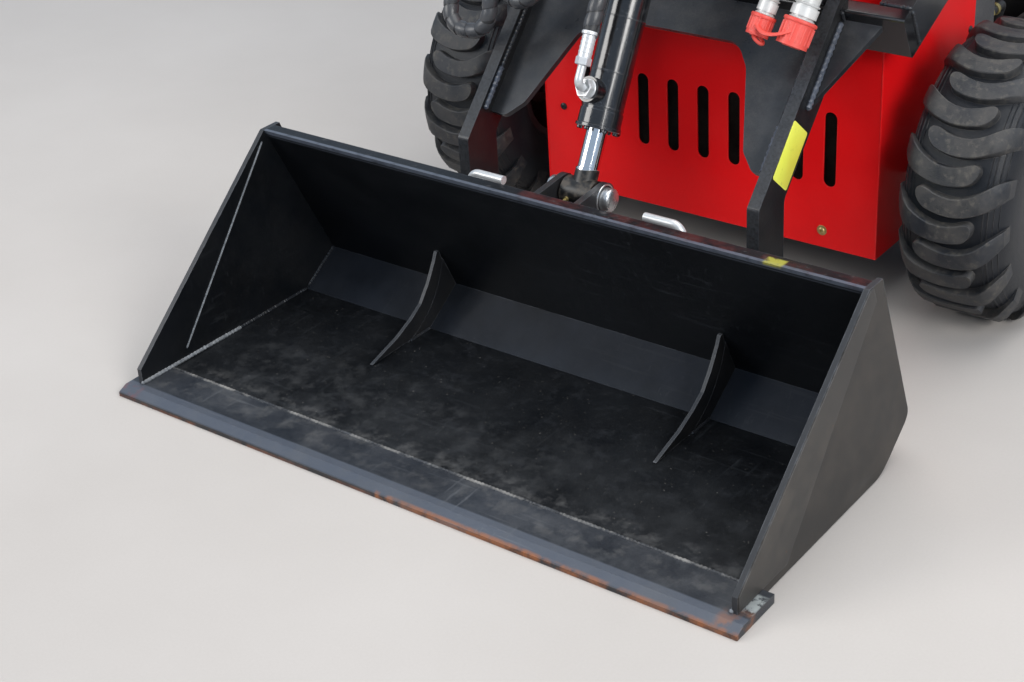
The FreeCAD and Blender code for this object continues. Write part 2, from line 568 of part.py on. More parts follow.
def make_arm():
    """Lift arm: cross tube, two booms, two dog-leg legs and the plates between and outside them."""
    run = rise(s.boom_slope)
    down = across(s.boom_slope) * -1
    corner = TUBE_CORNER
    section = [corner, corner + run * s.tube_deep, corner + run * s.tube_deep + down * s.tube_tall,
               corner + down * s.tube_tall]
    tube_corners = [(p.x, p.y, 4) for p in section]
    cross_tube = side_plate("CrossTube", "-tube_end", tube_corners, "2 * tube_end")

    base_pin = [(TILT_BASE.x, TILT_BASE.y, s.pin_radius)]
    seat_front = corner + run * 2
    seat_rear = corner + run * (s.tube_deep - 2)
    reach = s.tilt_barrel_radius - 3
    lug = side_plate("BaseLug", "tilt_base_half + lug_gap",
                     [(seat_front.x, seat_front.y - 3), (seat_rear.x, seat_rear.y - 3),
                      (TILT_BASE.x + reach, TILT_BASE.y + 4, 20), (TILT_BASE.x, TILT_BASE.y + reach, 16),
                      (TILT_BASE.x - reach, TILT_BASE.y, 18)], "base_lug_thick", base_pin)
    node("cross_tube", fuse("CrossTubeWhole", [cross_tube, lug, mirrored("BaseLugOther", lug)]))

    tail = LIFT_PIN + run * s.boom_tail
    start = BOOM_START
    half = s.tube_tall / 2
    beam = [start - down * half, tail - down * half, tail + down * half, start + down * half]
    corners = [(beam[0].x, beam[0].y), (beam[1].x, beam[1].y, 30), (beam[2].x, beam[2].y, 30),
               (beam[3].x, beam[3].y)]
    bore = [(LIFT_PIN.x, LIFT_PIN.y, s.lift_pin_radius + s.running_gap)]
    boom = side_plate("Boom", "tube_end - boom_width", corners, "boom_width", bore)
    lugs = []
    pin = LIFT_LUG
    top = pin - down * (s.lift_lug_drop - half + 2)
    eye = s.lift_eye_radius
    lug_corners = [(top.x - 46, top.y - 20), (pin.x - eye, pin.y - eye * 0.6, 14), (pin.x, pin.y - eye - 4, 14),
                   (pin.x + eye, pin.y - eye * 0.4, 14), (top.x + 46, top.y + 24)]
    hole = [(pin.x, pin.y, s.pin_radius)]
    for word, x in (("Inner", "lift_plane - lift_eye_half - eye_side_gap - lug_plate"),
                    ("Outer", "lift_plane + lift_eye_half + eye_side_gap")):
        lugs.append(side_plate("BoomLug" + word, x, lug_corners, "lug_plate", hole))
    node("booms", pair("Booms", fuse("BoomWhole", [boom] + lugs)))

    slope = rise(s.leg_slope)
    behind = across(s.leg_slope) * -1
    knee = Vector(s.leg_front, s.leg_bend_z, 0)
    reach_up = (corner - knee).dot(slope) + s.leg_over
    tip = knee + slope * reach_up
    back_line = knee + behind * s.leg_sloped_depth
    back_x = s.leg_front + s.leg_depth
    back_knee = back_line + slope * ((back_x - back_line.x) / slope.x)
    tip_back = back_line + slope * reach_up
    foot = s.leg_depth / 2 - 0.5
    leg_corners = [(s.leg_front, TOOL_PIN.y - foot, foot * 0.96), (back_x, TOOL_PIN.y - foot, foot * 0.96),
                   (back_knee.x, back_knee.y, 20), (tip_back.x, tip_back.y, 12), (tip.x, tip.y, 8),
                   (knee.x, knee.y, 10)]
    leg_full = side_plate("LegPlate", "leg_outer - leg_thick", leg_corners, "leg_thick")
    leg = cut("Leg", leg_full, [side_plate("LegNotch", "-tube_end", [(p.x, p.y) for p in section], "2 * tube_end")])
    node("arm_legs", pair("ArmLegs", leg))
    pin_bar = bar_x("ToolPin", "leg_outer + seat_gap", "tool_pin_y", "tool_pin_z", "tool_pin_radius",
                    "ear_gap + ear_thick + 10 - seat_gap")
    pin_in = bar_x("ToolPinInner", "leg_outer - leg_thick - ear_gap - ear_thick - 10", "tool_pin_y", "tool_pin_z",
                   "tool_pin_radius", "ear_gap + ear_thick + 10 - seat_gap")
    node("tool_pins", pair("ToolPins", group("ToolPinPair", [pin_bar, pin_in])))

    top_run = (corner - knee - behind * s.plate_set).dot(slope)
    inner_x = s.leg_outer - s.leg_thick
    hip, foot_x = s.arch_half_top, s.arch_half_low
    arch_low = s.plate_low + 16
    u_corners = [(-inner_x, s.plate_low), (-foot_x - 20, s.plate_low - 2, 14), (-foot_x + 6, arch_low + 10, 20),
                 (-hip - 4, s.plate_arch - 36, 40), (-hip + 24, s.plate_arch, 40), (hip - 24, s.plate_arch, 40),
                 (hip + 4, s.plate_arch - 36, 40), (foot_x - 6, arch_low + 10, 20), (foot_x + 20, s.plate_low - 2, 14),
                 (inner_x, s.plate_low), (inner_x, top_run + 60), (-inner_x, top_run + 60)]
    web_corners = [(s.leg_outer, s.web_low), (s.web_reach, top_run + 40), (s.leg_outer, top_run + 40)]
    pieces = [tilted("CrossPlate", u_corners, knee, behind), tilted("Web", web_corners, knee, behind)]
    pieces.append(mirrored("WebOther", pieces[1]))
    trimmed = []
    body_cut = side_plate("PlateTrim", "-tube_end - 20", plate_trim(corner, run, down), "2 * tube_end + 40")
    for piece in pieces:
        trimmed.append(cut(piece.Name + "Cut", piece, [body_cut]))
    node("cross_plate", group("CrossPlateWhole", trimmed))


def plate_trim(corner, run, down):
    """Everything behind and above the front face of the cross tube."""
    face_low = corner + down * (s.tube_tall + 60)
    face_high = corner - down * 160
    far = run * 200
    return [(face_low.x, face_low.y), ((face_low + far).x, (face_low + far).y),
            ((face_high + far).x, (face_high + far).y), (face_high.x, face_high.y)]


def tilted(name, corners, knee, behind):
    """Plate parallel to the sloping front of the legs: corners are (x, run up the slope)."""
    body = plate(name, "XZ_Plane", corners, "plate_thick")
    base = knee + behind * s.plate_set
    body.Placement = Placement(Vector(0, base.x - BACK, base.y), Rotation(Vector(1, 0, 0), s.leg_slope - 90))
    return body


def port_way(turn):
    """Direction of a port, square to the barrel, turned from the machine's right towards the front."""
    return Vector(-math.cos(math.radians(turn)), math.sin(math.radians(turn)), 0)


def ram(prefix, start, end, plane, barrel_radius, rod_radius, barrel_end, eye_radius, eye_half, base_half,
        spare, ports):
    """Hydraulic cylinder from its base pin to its rod eye, as barrel and rod; ports are (from the base, turn)."""
    length = (end - start).Length
    away = end - start
    lean = math.degrees(math.atan2(away.y, away.x))
    place = Placement(Vector(plane, start.x - BACK, start.y), Rotation(Vector(1, 0, 0), lean - 90))
    tag = prefix.title().replace("_", "")

    def local_x(name, radius, half, z):
        piece = doc.addObject("Part::Cylinder", name)
        piece.Radius = radius
        piece.Height = 2 * half
        piece.Placement = Placement(Vector(-half, 0, z), Rotation(Vector(0, 1, 0), 90))
        return piece

    def local_z(name, radius, low, high):
        piece = doc.addObject("Part::Cylinder", name)
        piece.Radius = radius
        piece.Height = high - low
        piece.Placement = Placement(Vector(0, 0, low), Rotation())
        return piece

    mouth = length - barrel_end
    bore = rod_radius + s.running_gap
    tube_body = local_z(tag + "Tube", barrel_radius, eye_radius * 0.7, mouth)
    gland = local_z(tag + "Gland", barrel_radius + 1.5, mouth - 26, mouth - 2)
    base_eye = local_x(tag + "BaseEye", eye_radius, base_half, 0)
    bosses = []
    for k, (z, turn) in enumerate(ports):
        boss = doc.addObject("Part::Cylinder", "%sPort%d" % (tag, k))
        boss.Radius = barrel_radius * s.port_radius / s.tilt_barrel_radius
        boss.Height = barrel_radius * 0.5 + s.port_high
        way = port_way(turn)
        boss.Placement = Placement(Vector(0, 0, z) + way * (barrel_radius * 0.5), Rotation(Vector(0, 0, 1), way))
        bosses.append(boss)
    shell = fuse(tag + "Shell", [tube_body, gland, base_eye] + bosses)
    hollow = local_z(tag + "Hollow", bore, eye_radius + 8, mouth + 5)
    pin_hole = local_x(tag + "BaseHole", s.pin_radius + s.running_gap, base_half + 5, 0)
    barrel = cut(tag + "Barrel", shell, [hollow, pin_hole])
    barrel.Placement = place

    shaft = local_z(tag + "Shaft", rod_radius, eye_radius + spare, length - eye_radius * 0.6)
    collar = local_z(tag + "Collar", rod_radius + s.rod_collar, length - eye_radius - 14, length - eye_radius * 0.6)
    rod_eye = local_x(tag + "RodEye", eye_radius, eye_half, length)
    eye_hole = local_x(tag + "EyeHole", s.pin_radius + s.running_gap, eye_half + 5, length)
    rod = cut(tag + "Rod", fuse(tag + "RodWhole", [shaft, collar, rod_eye]), [eye_hole])
    rod.Placement = place
    return barrel, rod


# Ports of the tilt cylinder: from the base pin along the barrel, turn, and the hose's distance from the axis
TILT_PORTS = [(s.tilt_pin_gap - 149, 84, s.hose_out), (58, 46, s.hose_out + 14)]


def make_rams():
    barrel, rod = ram("tilt", TILT_BASE, ROD_EYE, 0, s.tilt_barrel_radius, s.tilt_rod_radius, s.tilt_barrel_end,
                      s.rod_eye_radius, s.rod_eye_half, s.tilt_base_half, s.tilt_spare,
                      [port[:2] for port in TILT_PORTS])
    node("tilt_barrel", barrel)
    node("tilt_rod", rod)
    for side, sign in (("left", 1), ("right", -1)):
        away = (LIFT_LUG - LIFT_BASE).Length
        barrel, rod = ram("lift_" + side, LIFT_BASE, LIFT_LUG, sign * s.lift_plane, s.lift_barrel_radius,
                          s.lift_rod_radius, s.lift_barrel_end, s.lift_eye_radius, s.lift_eye_half, s.lift_eye_half,
                          s.lift_spare, [(away - s.lift_barrel_end - 50, 90), (60, 90)])
        node("lift_barrel_" + side, barrel)
        node("lift_rod_" + side, rod)
    base_pin = bar_x("TiltBasePin", "-(tilt_base_half + lug_gap + base_lug_thick + 6)", TILT_BASE.x, TILT_BASE.y,
                     "pin_radius - seat_gap", "2 * (tilt_base_half + lug_gap + base_lug_thick + 6)")
    node("tilt_base_pin", base_pin)


def faceted(name, sections, sides, turn=0):
    """Solid with flat faces round X: sections are (x, radius over the flats); turn brings a flat on top."""
    count = int(sides)
    rings = []
    for x, flat in sections:
        corner = flat / math.cos(math.pi / count)
        angles = [math.radians(turn + 360 * k / count) for k in range(count)]
        rings.append([Vector(x, corner * math.sin(a), corner * math.cos(a)) for a in angles])
    faces = [Part.Face(Part.makePolygon(ring + ring[:1])) for ring in (rings[0], rings[-1])]
    for ring, after in zip(rings, rings[1:]):
        for k in range(count):
            here, there = (k, (k + 1) % count)
            faces.append(Part.Face(Part.makePolygon([ring[here], ring[there], after[there], after[here], ring[here]])))
    solid = Part.makeSolid(Part.makeShell(faces))
    if solid.Volume < 0:
        solid.reverse()
    body = doc.addObject("Part::Feature", name)
    body.Shape = solid
    return body


def make_tyre():
    """Tyre with flat sides and block lugs that start in turn from each shoulder."""
    half = s.wheel_width / 2
    bead = half - 12 - s.rim_wall - 2 * s.seat_gap
    crown = s.wheel_radius - s.lug_high
    sides = s.tread_sides
    right = [(bead, s.rim_radius + 12), (half, crown - 24), (half - 25, crown)]
    carcass = faceted("Carcass", [(-x, r) for x, r in right] + [(x, r) for x, r in reversed(right)], sides)
    bore_flat = s.rim_radius + s.seat_gap
    bore = faceted("TyreBore", [(-half, bore_flat), (half, bore_flat)], sides / 2)
    over = s.wheel_radius - s.lug_crown
    envelope = faceted("LugEnvelope", [(2 - half, over - 24), (20 - half, over), (half - 20, over),
                                       (half - 2, over - 24)], sides, 180 / sides)
    wide, past = s.lug_wide, s.lug_past
    plan = [(5 - half, -wide * 0.36), (past - 9, -wide * 0.6), (past, -wide * 0.25), (past - 7, wide * 0.4),
            (5 - half, wide * 0.6)]
    block = put(plate("LugBlock", "XY_Plane", plan, "lug_high * 3"), None, None, "wheel_radius - lug_high * 2.6")
    lug = doc.addObject("Part::Common", "Lug")
    lug.Base = block
    lug.Tool = envelope
    masters = [lug, mirrored("LugOther", lug)]
    pitch = 360 / sides
    ring = [carcass]
    for k in range(int(sides)):
        piece = group("Lug%d" % k, [masters[k % 2]])
        piece.Placement = Placement(Vector(), Rotation(Vector(1, 0, 0), 90 - pitch / 2 - pitch * k))
        ring.append(piece)
    return cut("TyreMaster", fuse("TyreSolid", ring), [bore])


def make_wheels():
    """Four wheels: a tyre and a rim with its hub each."""
    half = s.wheel_width / 2
    seat = s.rim_radius
    wall = s.rim_wall
    rim_profile = [(-half + 12, seat - wall), (12, seat - wall), (12, s.hub_radius), (-30, s.hub_radius),
                   (-30, s.stub_radius + s.running_gap), (18, s.stub_radius + s.running_gap), (18, 0), (30, 0),
                   (30, 38), (20, 44), (20, seat - wall), (half - 12, seat - wall), (half - 12, seat + 9),
                   (half - 12.5 - wall, seat + 9), (half - 12.5 - wall, seat), (-half + 12 + wall, seat),
                   (-half + 12 + wall, seat + 9), (-half + 12, seat + 9)]
    tyre = make_tyre()
    for word, station in (("front", "front_axle"), ("rear", "rear_axle")):
        for side, sign in (("left", 1), ("right", -1)):
            name = "%s_%s" % (word, side)
            tag = name.title().replace("_", "")
            rim = turned("Rim" + tag, rim_profile)
            worn = group("Tyre" + tag, [tyre if sign > 0 else mirrored("TyreMirror" + tag, tyre)])
            if sign < 0:
                rim.Placement = Placement(Vector(), Rotation(Vector(0, 0, 1), 180))
            for piece_name, piece in (("tyre", worn), ("rim", rim)):
                put(piece, "%d * (wheel_inner + wheel_width / 2)" % sign, station, "wheel_radius")
                node("%s_%s" % (piece_name, name), piece)


def make_axles():
    """Wheel motor housings with their stub shafts, one pair on each axle."""
    for word, station in (("front", "front_axle"), ("rear", "rear_axle")):
        tag = word.title()
        hub_start = "wheel_inner + wheel_width / 2 - 30"
        housing = bar_x("Housing" + tag, "body_half - skin", station, "wheel_radius", "housing_radius",
                        hub_start + " - 5 - body_half + skin")
        stub = bar_x("Stub" + tag, "body_half - skin", station, "wheel_radius", "stub_radius",
                     "wheel_inner + wheel_width / 2 + 17 - body_half + skin")
        flange = bar_x("Flange" + tag, "body_half + seat_gap", station, "wheel_radius", "housing_radius + 16", "12")
        pieces = [housing, stub] if word == "front" else [housing, stub, flange]
        node("axle_" + word, pair("Axle" + tag, fuse("AxleWhole" + tag, pieces)))


def make_frame():
    """Open-topped frame tub."""
    tub = box("FrameOuter", "skin - body_half", "cover_front + skin", "frame_low", "2 * (body_half - skin)",
              "frame_rear - cover_front - skin", "frame_high - frame_low")
    hollow = box("FrameHollow", "skin + frame_wall - body_half", "cover_front + skin + frame_wall",
                 "frame_low + frame_wall", "2 * (body_half - skin - frame_wall)",
                 "frame_rear - cover_front - skin - 2 * frame_wall", "frame_high - frame_low")
    node("frame", cut("Frame", tub, [hollow]))


def make_cover():
    """Red front cover: folded sheet with nine upright slots."""
    outer = box("CoverOuter", "-body_half", "cover_front", "cover_low", "2 * body_half", "cover_rear - cover_front",
                "cover_high - cover_low")
    inner = box("CoverInner", "skin - body_half", "cover_front + skin", "cover_low - 10", "2 * (body_half - skin)",
                "cover_rear - cover_front + 10", "cover_high - cover_low - skin + 10")
    tools = [inner]
    for k in range(-4, 5):
        slot = box("Slot%d" % (k + 4), "%d * slot_pitch - slot_width / 2" % k, "cover_front - 5",
                   "slot_low + slot_width / 2", "slot_width", "skin + 10", "slot_high - slot_low - slot_width")
        tools.append(slot)
        for word, z in (("Low", "slot_low + slot_width / 2"), ("High", "slot_high - slot_width / 2")):
            tools.append(bar_y("Slot%s%d" % (word, k + 4), "%d * slot_pitch" % k, "cover_front - 5", z,
                               "slot_width / 2", "skin + 10"))
    tools.append(bar_x("AxleHole", "-body_half - 5", "front_axle", "wheel_radius", "housing_radius + 2",
                       "2 * body_half + 10"))
    node("front_cover", cut("FrontCover", outer, tools))


def make_towers():
    """Towers that carry the lift pivots and the lift cylinders' base pins."""
    head = s.tower_head
    top = LIFT_PIN.y
    corners = [(s.tower_front, s.tower_low), (s.tower_rear, s.tower_low), (s.tower_rear, top, s.tower_round),
               (LIFT_PIN.x + head, top + head, 40), (LIFT_PIN.x - head, top + head, 40),
               (LIFT_PIN.x - head, top - s.tower_round, 30), (s.tower_front, s.tower_outer_low)]
    inner = side_plate("TowerInner", "body_half - skin", corners, "tower_thick")
    foot = s.tower_rear - s.tower_round
    outer_corners = [(foot, s.tower_outer_low), (s.tower_rear, s.tower_outer_low)] + corners[2:5]
    outer_corners.append((LIFT_PIN.x - head, top - s.tower_neck, 30))
    tie_hole = [(s.tower_rear - s.tie_back, s.tower_outer_low + s.tie_up, s.tie_radius)]
    outer = side_plate("TowerOuter", "tube_end + 6", outer_corners, "tower_thick", tie_hole)
    web = box("TowerWeb", "body_half - skin", "tower_rear - tower_thick", "tower_outer_low",
              "tube_end + 6 + tower_thick - body_half + skin", "tower_thick", "%r - tower_outer_low" % (top - 20))
    pivot = bar_x("LiftPivot", "body_half - skin", LIFT_PIN.x, LIFT_PIN.y, "lift_pin_radius",
                  "tube_end + 6 + tower_thick + 8 - body_half + skin")
    base_pin = bar_x("LiftBasePin", "body_half - skin", "lift_base_y", "lift_base_z", "pin_radius",
                     "lift_plane + lift_eye_half + 8 - body_half + skin")
    node("towers", pair("Towers", fuse("Tower", [inner, outer, web, pivot, base_pin])))
    stub = "pin_radius - seat_gap"
    inner_end = bar_x("LugPinInner", "lift_plane - lift_eye_half - eye_side_gap - lug_plate", LIFT_LUG.x,
                      LIFT_LUG.y, stub, "lug_plate - seat_gap")
    outer_end = bar_x("LugPinOuter", "lift_plane + lift_eye_half + eye_side_gap + seat_gap", LIFT_LUG.x,
                      LIFT_LUG.y, stub, "lug_plate + 5")
    node("boom_lug_pins", pair("BoomLugPins", group("LugPins", [inner_end, outer_end])))


def make_engine_bay():
    """Engine with its intake and exhaust, fuel tank and hydraulic pump, open to both sides."""
    floor = "frame_low + frame_wall"
    case = box("CrankCase", "-engine_half", "engine_front", floor, "2 * engine_half",
               "engine_rear - engine_front", "engine_high - frame_low - frame_wall")
    node("engine_block", case)
    node("flywheel_shroud", bar_y("Shroud", "0", "engine_front - shroud_deep", "engine_high - 125", "125",
                                  "shroud_deep"))
    node("air_filter", bar_x("AirFilter", "-95", "engine_front + 150", "engine_high + filter_radius + seat_gap",
                             "filter_radius", "190"))
    node("muffler", bar_x("Muffler", "-210", "engine_rear - 60", "engine_high + muffler_radius + seat_gap",
                          "muffler_radius", "420"))
    node("fuel_tank", box("FuelTank", "-tank_half", "tank_front", floor, "2 * tank_half", "tank_rear - tank_front",
                          "tank_high - frame_low - frame_wall"))
    node("hydraulic_pump", box("Pump", "-pump_half", "engine_front - shroud_deep - pump_gap - pump_deep", floor,
                               "2 * pump_half", "pump_deep", "pump_high - frame_low - frame_wall"))
    head_y = "engine_front + engine_deep / 2 - head_deep / 2"
    pieces = [box("Head", "engine_half", head_y, "head_low", "head_out", "head_deep", "head_tall")]
    for k in range(5):
        pieces.append(box("Fin%d" % k, "engine_half + 8 + %d * fin_pitch" % k, head_y + " - fin_over",
                          "head_low - fin_over", "fin_thick", "head_deep + 2 * fin_over", "head_tall + 2 * fin_over"))
    node("engine_heads", pair("EngineHeads", fuse("HeadWhole", pieces)))
    block_x = "body_half - skin - 2 - valve_wide"
    block = [box("ValveBody", block_x, "cover_rear + 8", "frame_high", "valve_wide", "valve_deep", "valve_tall")]
    for k in range(4):
        z = "frame_high + 30 + %d * 40" % k
        block.append(bar_y("ValvePort%d" % k, "body_half - skin - 2 - valve_wide / 2", "cover_rear + valve_deep", z,
                           "valve_port", "34"))
    node("valve_block", fuse("ValveBlock", block))


def make_hood():
    """Engine hood: a folded lid hinged in front of the console."""
    skirt = "hood_high - cover_high - seat_gap"
    start = "cover_rear - hood_lap"
    outer = box("HoodOuter", "-hood_half", start, "cover_high + seat_gap", "2 * hood_half",
                "hood_rear - cover_rear + hood_lap", skirt)
    inner = box("HoodInner", "skin - hood_half", start + " + skin", "cover_high - 5", "2 * (hood_half - skin)",
                "hood_rear - cover_rear + hood_lap - 2 * skin", "hood_high - cover_high + 5 - skin")
    shell = cut("HoodShell", outer, [inner])
    leaves = []
    blocks = []
    pin_z = "hood_high + hood_pin + 2"
    for k, x in enumerate((-200, 120)):
        leaf = box("HoodLeaf%d" % k, x, "hood_rear - 30", "hood_high", "36", "42", "2 * hood_pin + 4")
        bore = bar_x("HoodBore%d" % k, x - 5, "hood_rear + 5", pin_z, "hood_pin + running_gap", "46")
        leaves.append(cut("HoodKnuckle%d" % k, leaf, [bore]))
        blocks.append(box("HoodBlock%d" % k, x + 40, "hood_rear + 1", "hood_high - 6", "40",
                          "console_front - hood_rear - 1", "2 * hood_pin + 16"))
        blocks.append(bar_x("HoodPin%d" % k, x, "hood_rear + 5", pin_z, "hood_pin", "60"))
    node("hood", fuse("Hood", [shell] + leaves))
    node("hood_hinge", group("HoodHinge", [fuse("HoodHinge0", blocks[:2]), fuse("HoodHinge1", blocks[2:])]))


def make_lamps():
    """Work lamps on the front of the cover's top."""
    case = box("LampCase", "lamp_place - lamp_wide / 2", "cover_front + 12", "cover_high + 14", "lamp_wide",
               "lamp_deep", "lamp_tall")
    foot = box("LampFoot", "lamp_place - 12", "cover_front + 22", "cover_high", "24", "26", "15")
    node("work_lamps", pair("WorkLamps", fuse("Lamp", [case, foot])))


def make_station():
    """Operator's console, grab bar, levers and footplate."""
    body = [(s.console_front, s.frame_low + s.frame_wall), (s.console_rear, s.frame_low + s.frame_wall),
            (s.console_rear, s.console_rear_high, 20), (s.console_front + 40, s.console_high, 20),
            (s.console_front, s.console_high - 20, 10)]
    node("console", side_plate("Console", "-console_half", body, "2 * console_half"))
    corners = [(-s.pad_half, s.pad_low, 30), (s.pad_half, s.pad_low, 30), (s.pad_half, s.pad_high, 30),
               (-s.pad_half, s.pad_high, 30)]
    node("knee_pad", put(plate("KneePad", "XZ_Plane", corners, "pad_thick"), "0", "console_rear", "0"))
    high = s.bar_high
    foot_z = s.console_rear_high - 90
    y_bar = s.console_rear - 30
    side = s.console_half + s.bar_radius
    node("grab_bar", tube("GrabBar", [(-side, y_bar, foot_z), (-side, y_bar, high), (side, y_bar, high),
                                      (side, y_bar, foot_z)], s.bar_radius, 60))
    levers = []
    for k, x in enumerate((-60, 60)):
        stick = bar_z("Lever%d" % k, x, "console_rear - 90", s.console_rear_high + 20, "6", "150")
        knob = put(bind(doc.addObject("Part::Sphere", "Knob%d" % k), Radius="17"), x, "console_rear - 90",
                   s.console_rear_high + 175)
        levers.append(cut("LeverWhole%d" % k, fuse("LeverFuse%d" % k, [stick, knob]), [doc.getObject("Console")]))
    node("control_levers", group("ControlLevers", levers))
    hinge = [box("HingeBlock%d" % k, x, "frame_rear", "step_hinge_z - 14", "30", "step_hinge_y - frame_rear + 8", "28")
             for k, x in enumerate((-180, 150))]
    hinge_pin = bar_x("HingePin", -200, "step_hinge_y", "step_hinge_z", "6", 400)
    node("step_hinge", fuse("StepHinge", hinge + [hinge_pin]))
    floor = box("StepFloor", "-step_half", "step_hinge_y + 20", "step_hinge_z - step_thick - 6", "2 * step_half",
                "overall_length - step_hinge_y - 20", "step_thick")
    rims = [box("StepRimLeft", "step_half - step_thick", "step_hinge_y + 20", "step_hinge_z - 6", "step_thick",
                "overall_length - step_hinge_y - 20", "step_edge"),
            box("StepRimRight", "-step_half", "step_hinge_y + 20", "step_hinge_z - 6", "step_thick",
                "overall_length - step_hinge_y - 20", "step_edge")]
    knuckles = []
    for k, x in enumerate((-140, 60)):
        block = box("Knuckle%d" % k, x, "step_hinge_y - 9", "step_hinge_z - 11", "80", "40", "18")
        bore = bar_x("KnuckleBore%d" % k, x - 5, "step_hinge_y", "step_hinge_z", "6 + running_gap", "90")
        knuckles.append(cut("KnuckleWhole%d" % k, block, [bore]))
    node("footplate", fuse("Footplate", [floor] + rims + knuckles))


def at_tilt(x, y, z):
    """Point given in the tilt cylinder's own directions: across, towards the front, from base pin to rod eye."""
    along = rise(s.tilt_lean) * -1
    front = across(s.tilt_lean)
    spot = TILT_BASE + along * z + front * y
    return (x, spot.x, spot.y)


def round_run(name, start, end, radius):
    """Straight round piece between two points (x, station, height)."""
    way = Vector(*end) - Vector(*start)
    piece = doc.addObject("Part::Cylinder", name)
    piece.Radius = radius
    piece.Height = way.Length
    piece.Placement = Placement(Vector(*start) + Vector(0, -BACK, 0), Rotation(Vector(0, 0, 1), way))
    return piece


def on_boom(run, lift, x):
    """Point above a boom: along it from its front, and above its top face."""
    spot = BOOM_START + rise(s.boom_slope) * run + across(s.boom_slope) * (s.tube_tall / 2 + lift)
    return (x, spot.x, spot.y)


def make_tilt_hoses():
    """Hose ends and hoses that stay on the tilt barrel, up to the guide plate above its base pin."""
    ends = []
    hoses = []
    for k, (z, turn, reach_out) in enumerate(TILT_PORTS):
        way = port_way(turn)
        face = s.tilt_barrel_radius + s.port_high

        def out(reach, back=0.0):
            return at_tilt(way.x * reach, way.y * reach, z - back)

        nut = doc.addObject("Part::Prism", "HoseNut%d" % k)
        nut.Polygon = 6
        nut.Circumradius = s.elbow_radius * 2.2
        nut.Height = 12
        start = Vector(*out(face)) + Vector(0, -BACK, 0)
        nut.Placement = Placement(start, Rotation(Vector(0, 0, 1), Vector(*out(face + 12)) - Vector(*out(face))))
        elbow = tube("Elbow%d" % k, [out(face + 8), out(reach_out), out(reach_out, 46)], s.elbow_radius, 11)
        ferrule = round_run("Ferrule%d" % k, out(reach_out, 38), out(reach_out, 76), s.ferrule_radius)
        ends.append(fuse("HoseEnd%d" % k, [nut, elbow, ferrule]))
        high = way * reach_out
        hoses.append(round_run("TiltHose%d" % k, out(reach_out, 76 + s.seat_gap), at_tilt(high.x, high.y, -38.5),
                               s.hose_radius))
    node("tilt_fittings", group("TiltFittings", ends))
    node("tilt_hoses", group("TiltHoses", hoses))


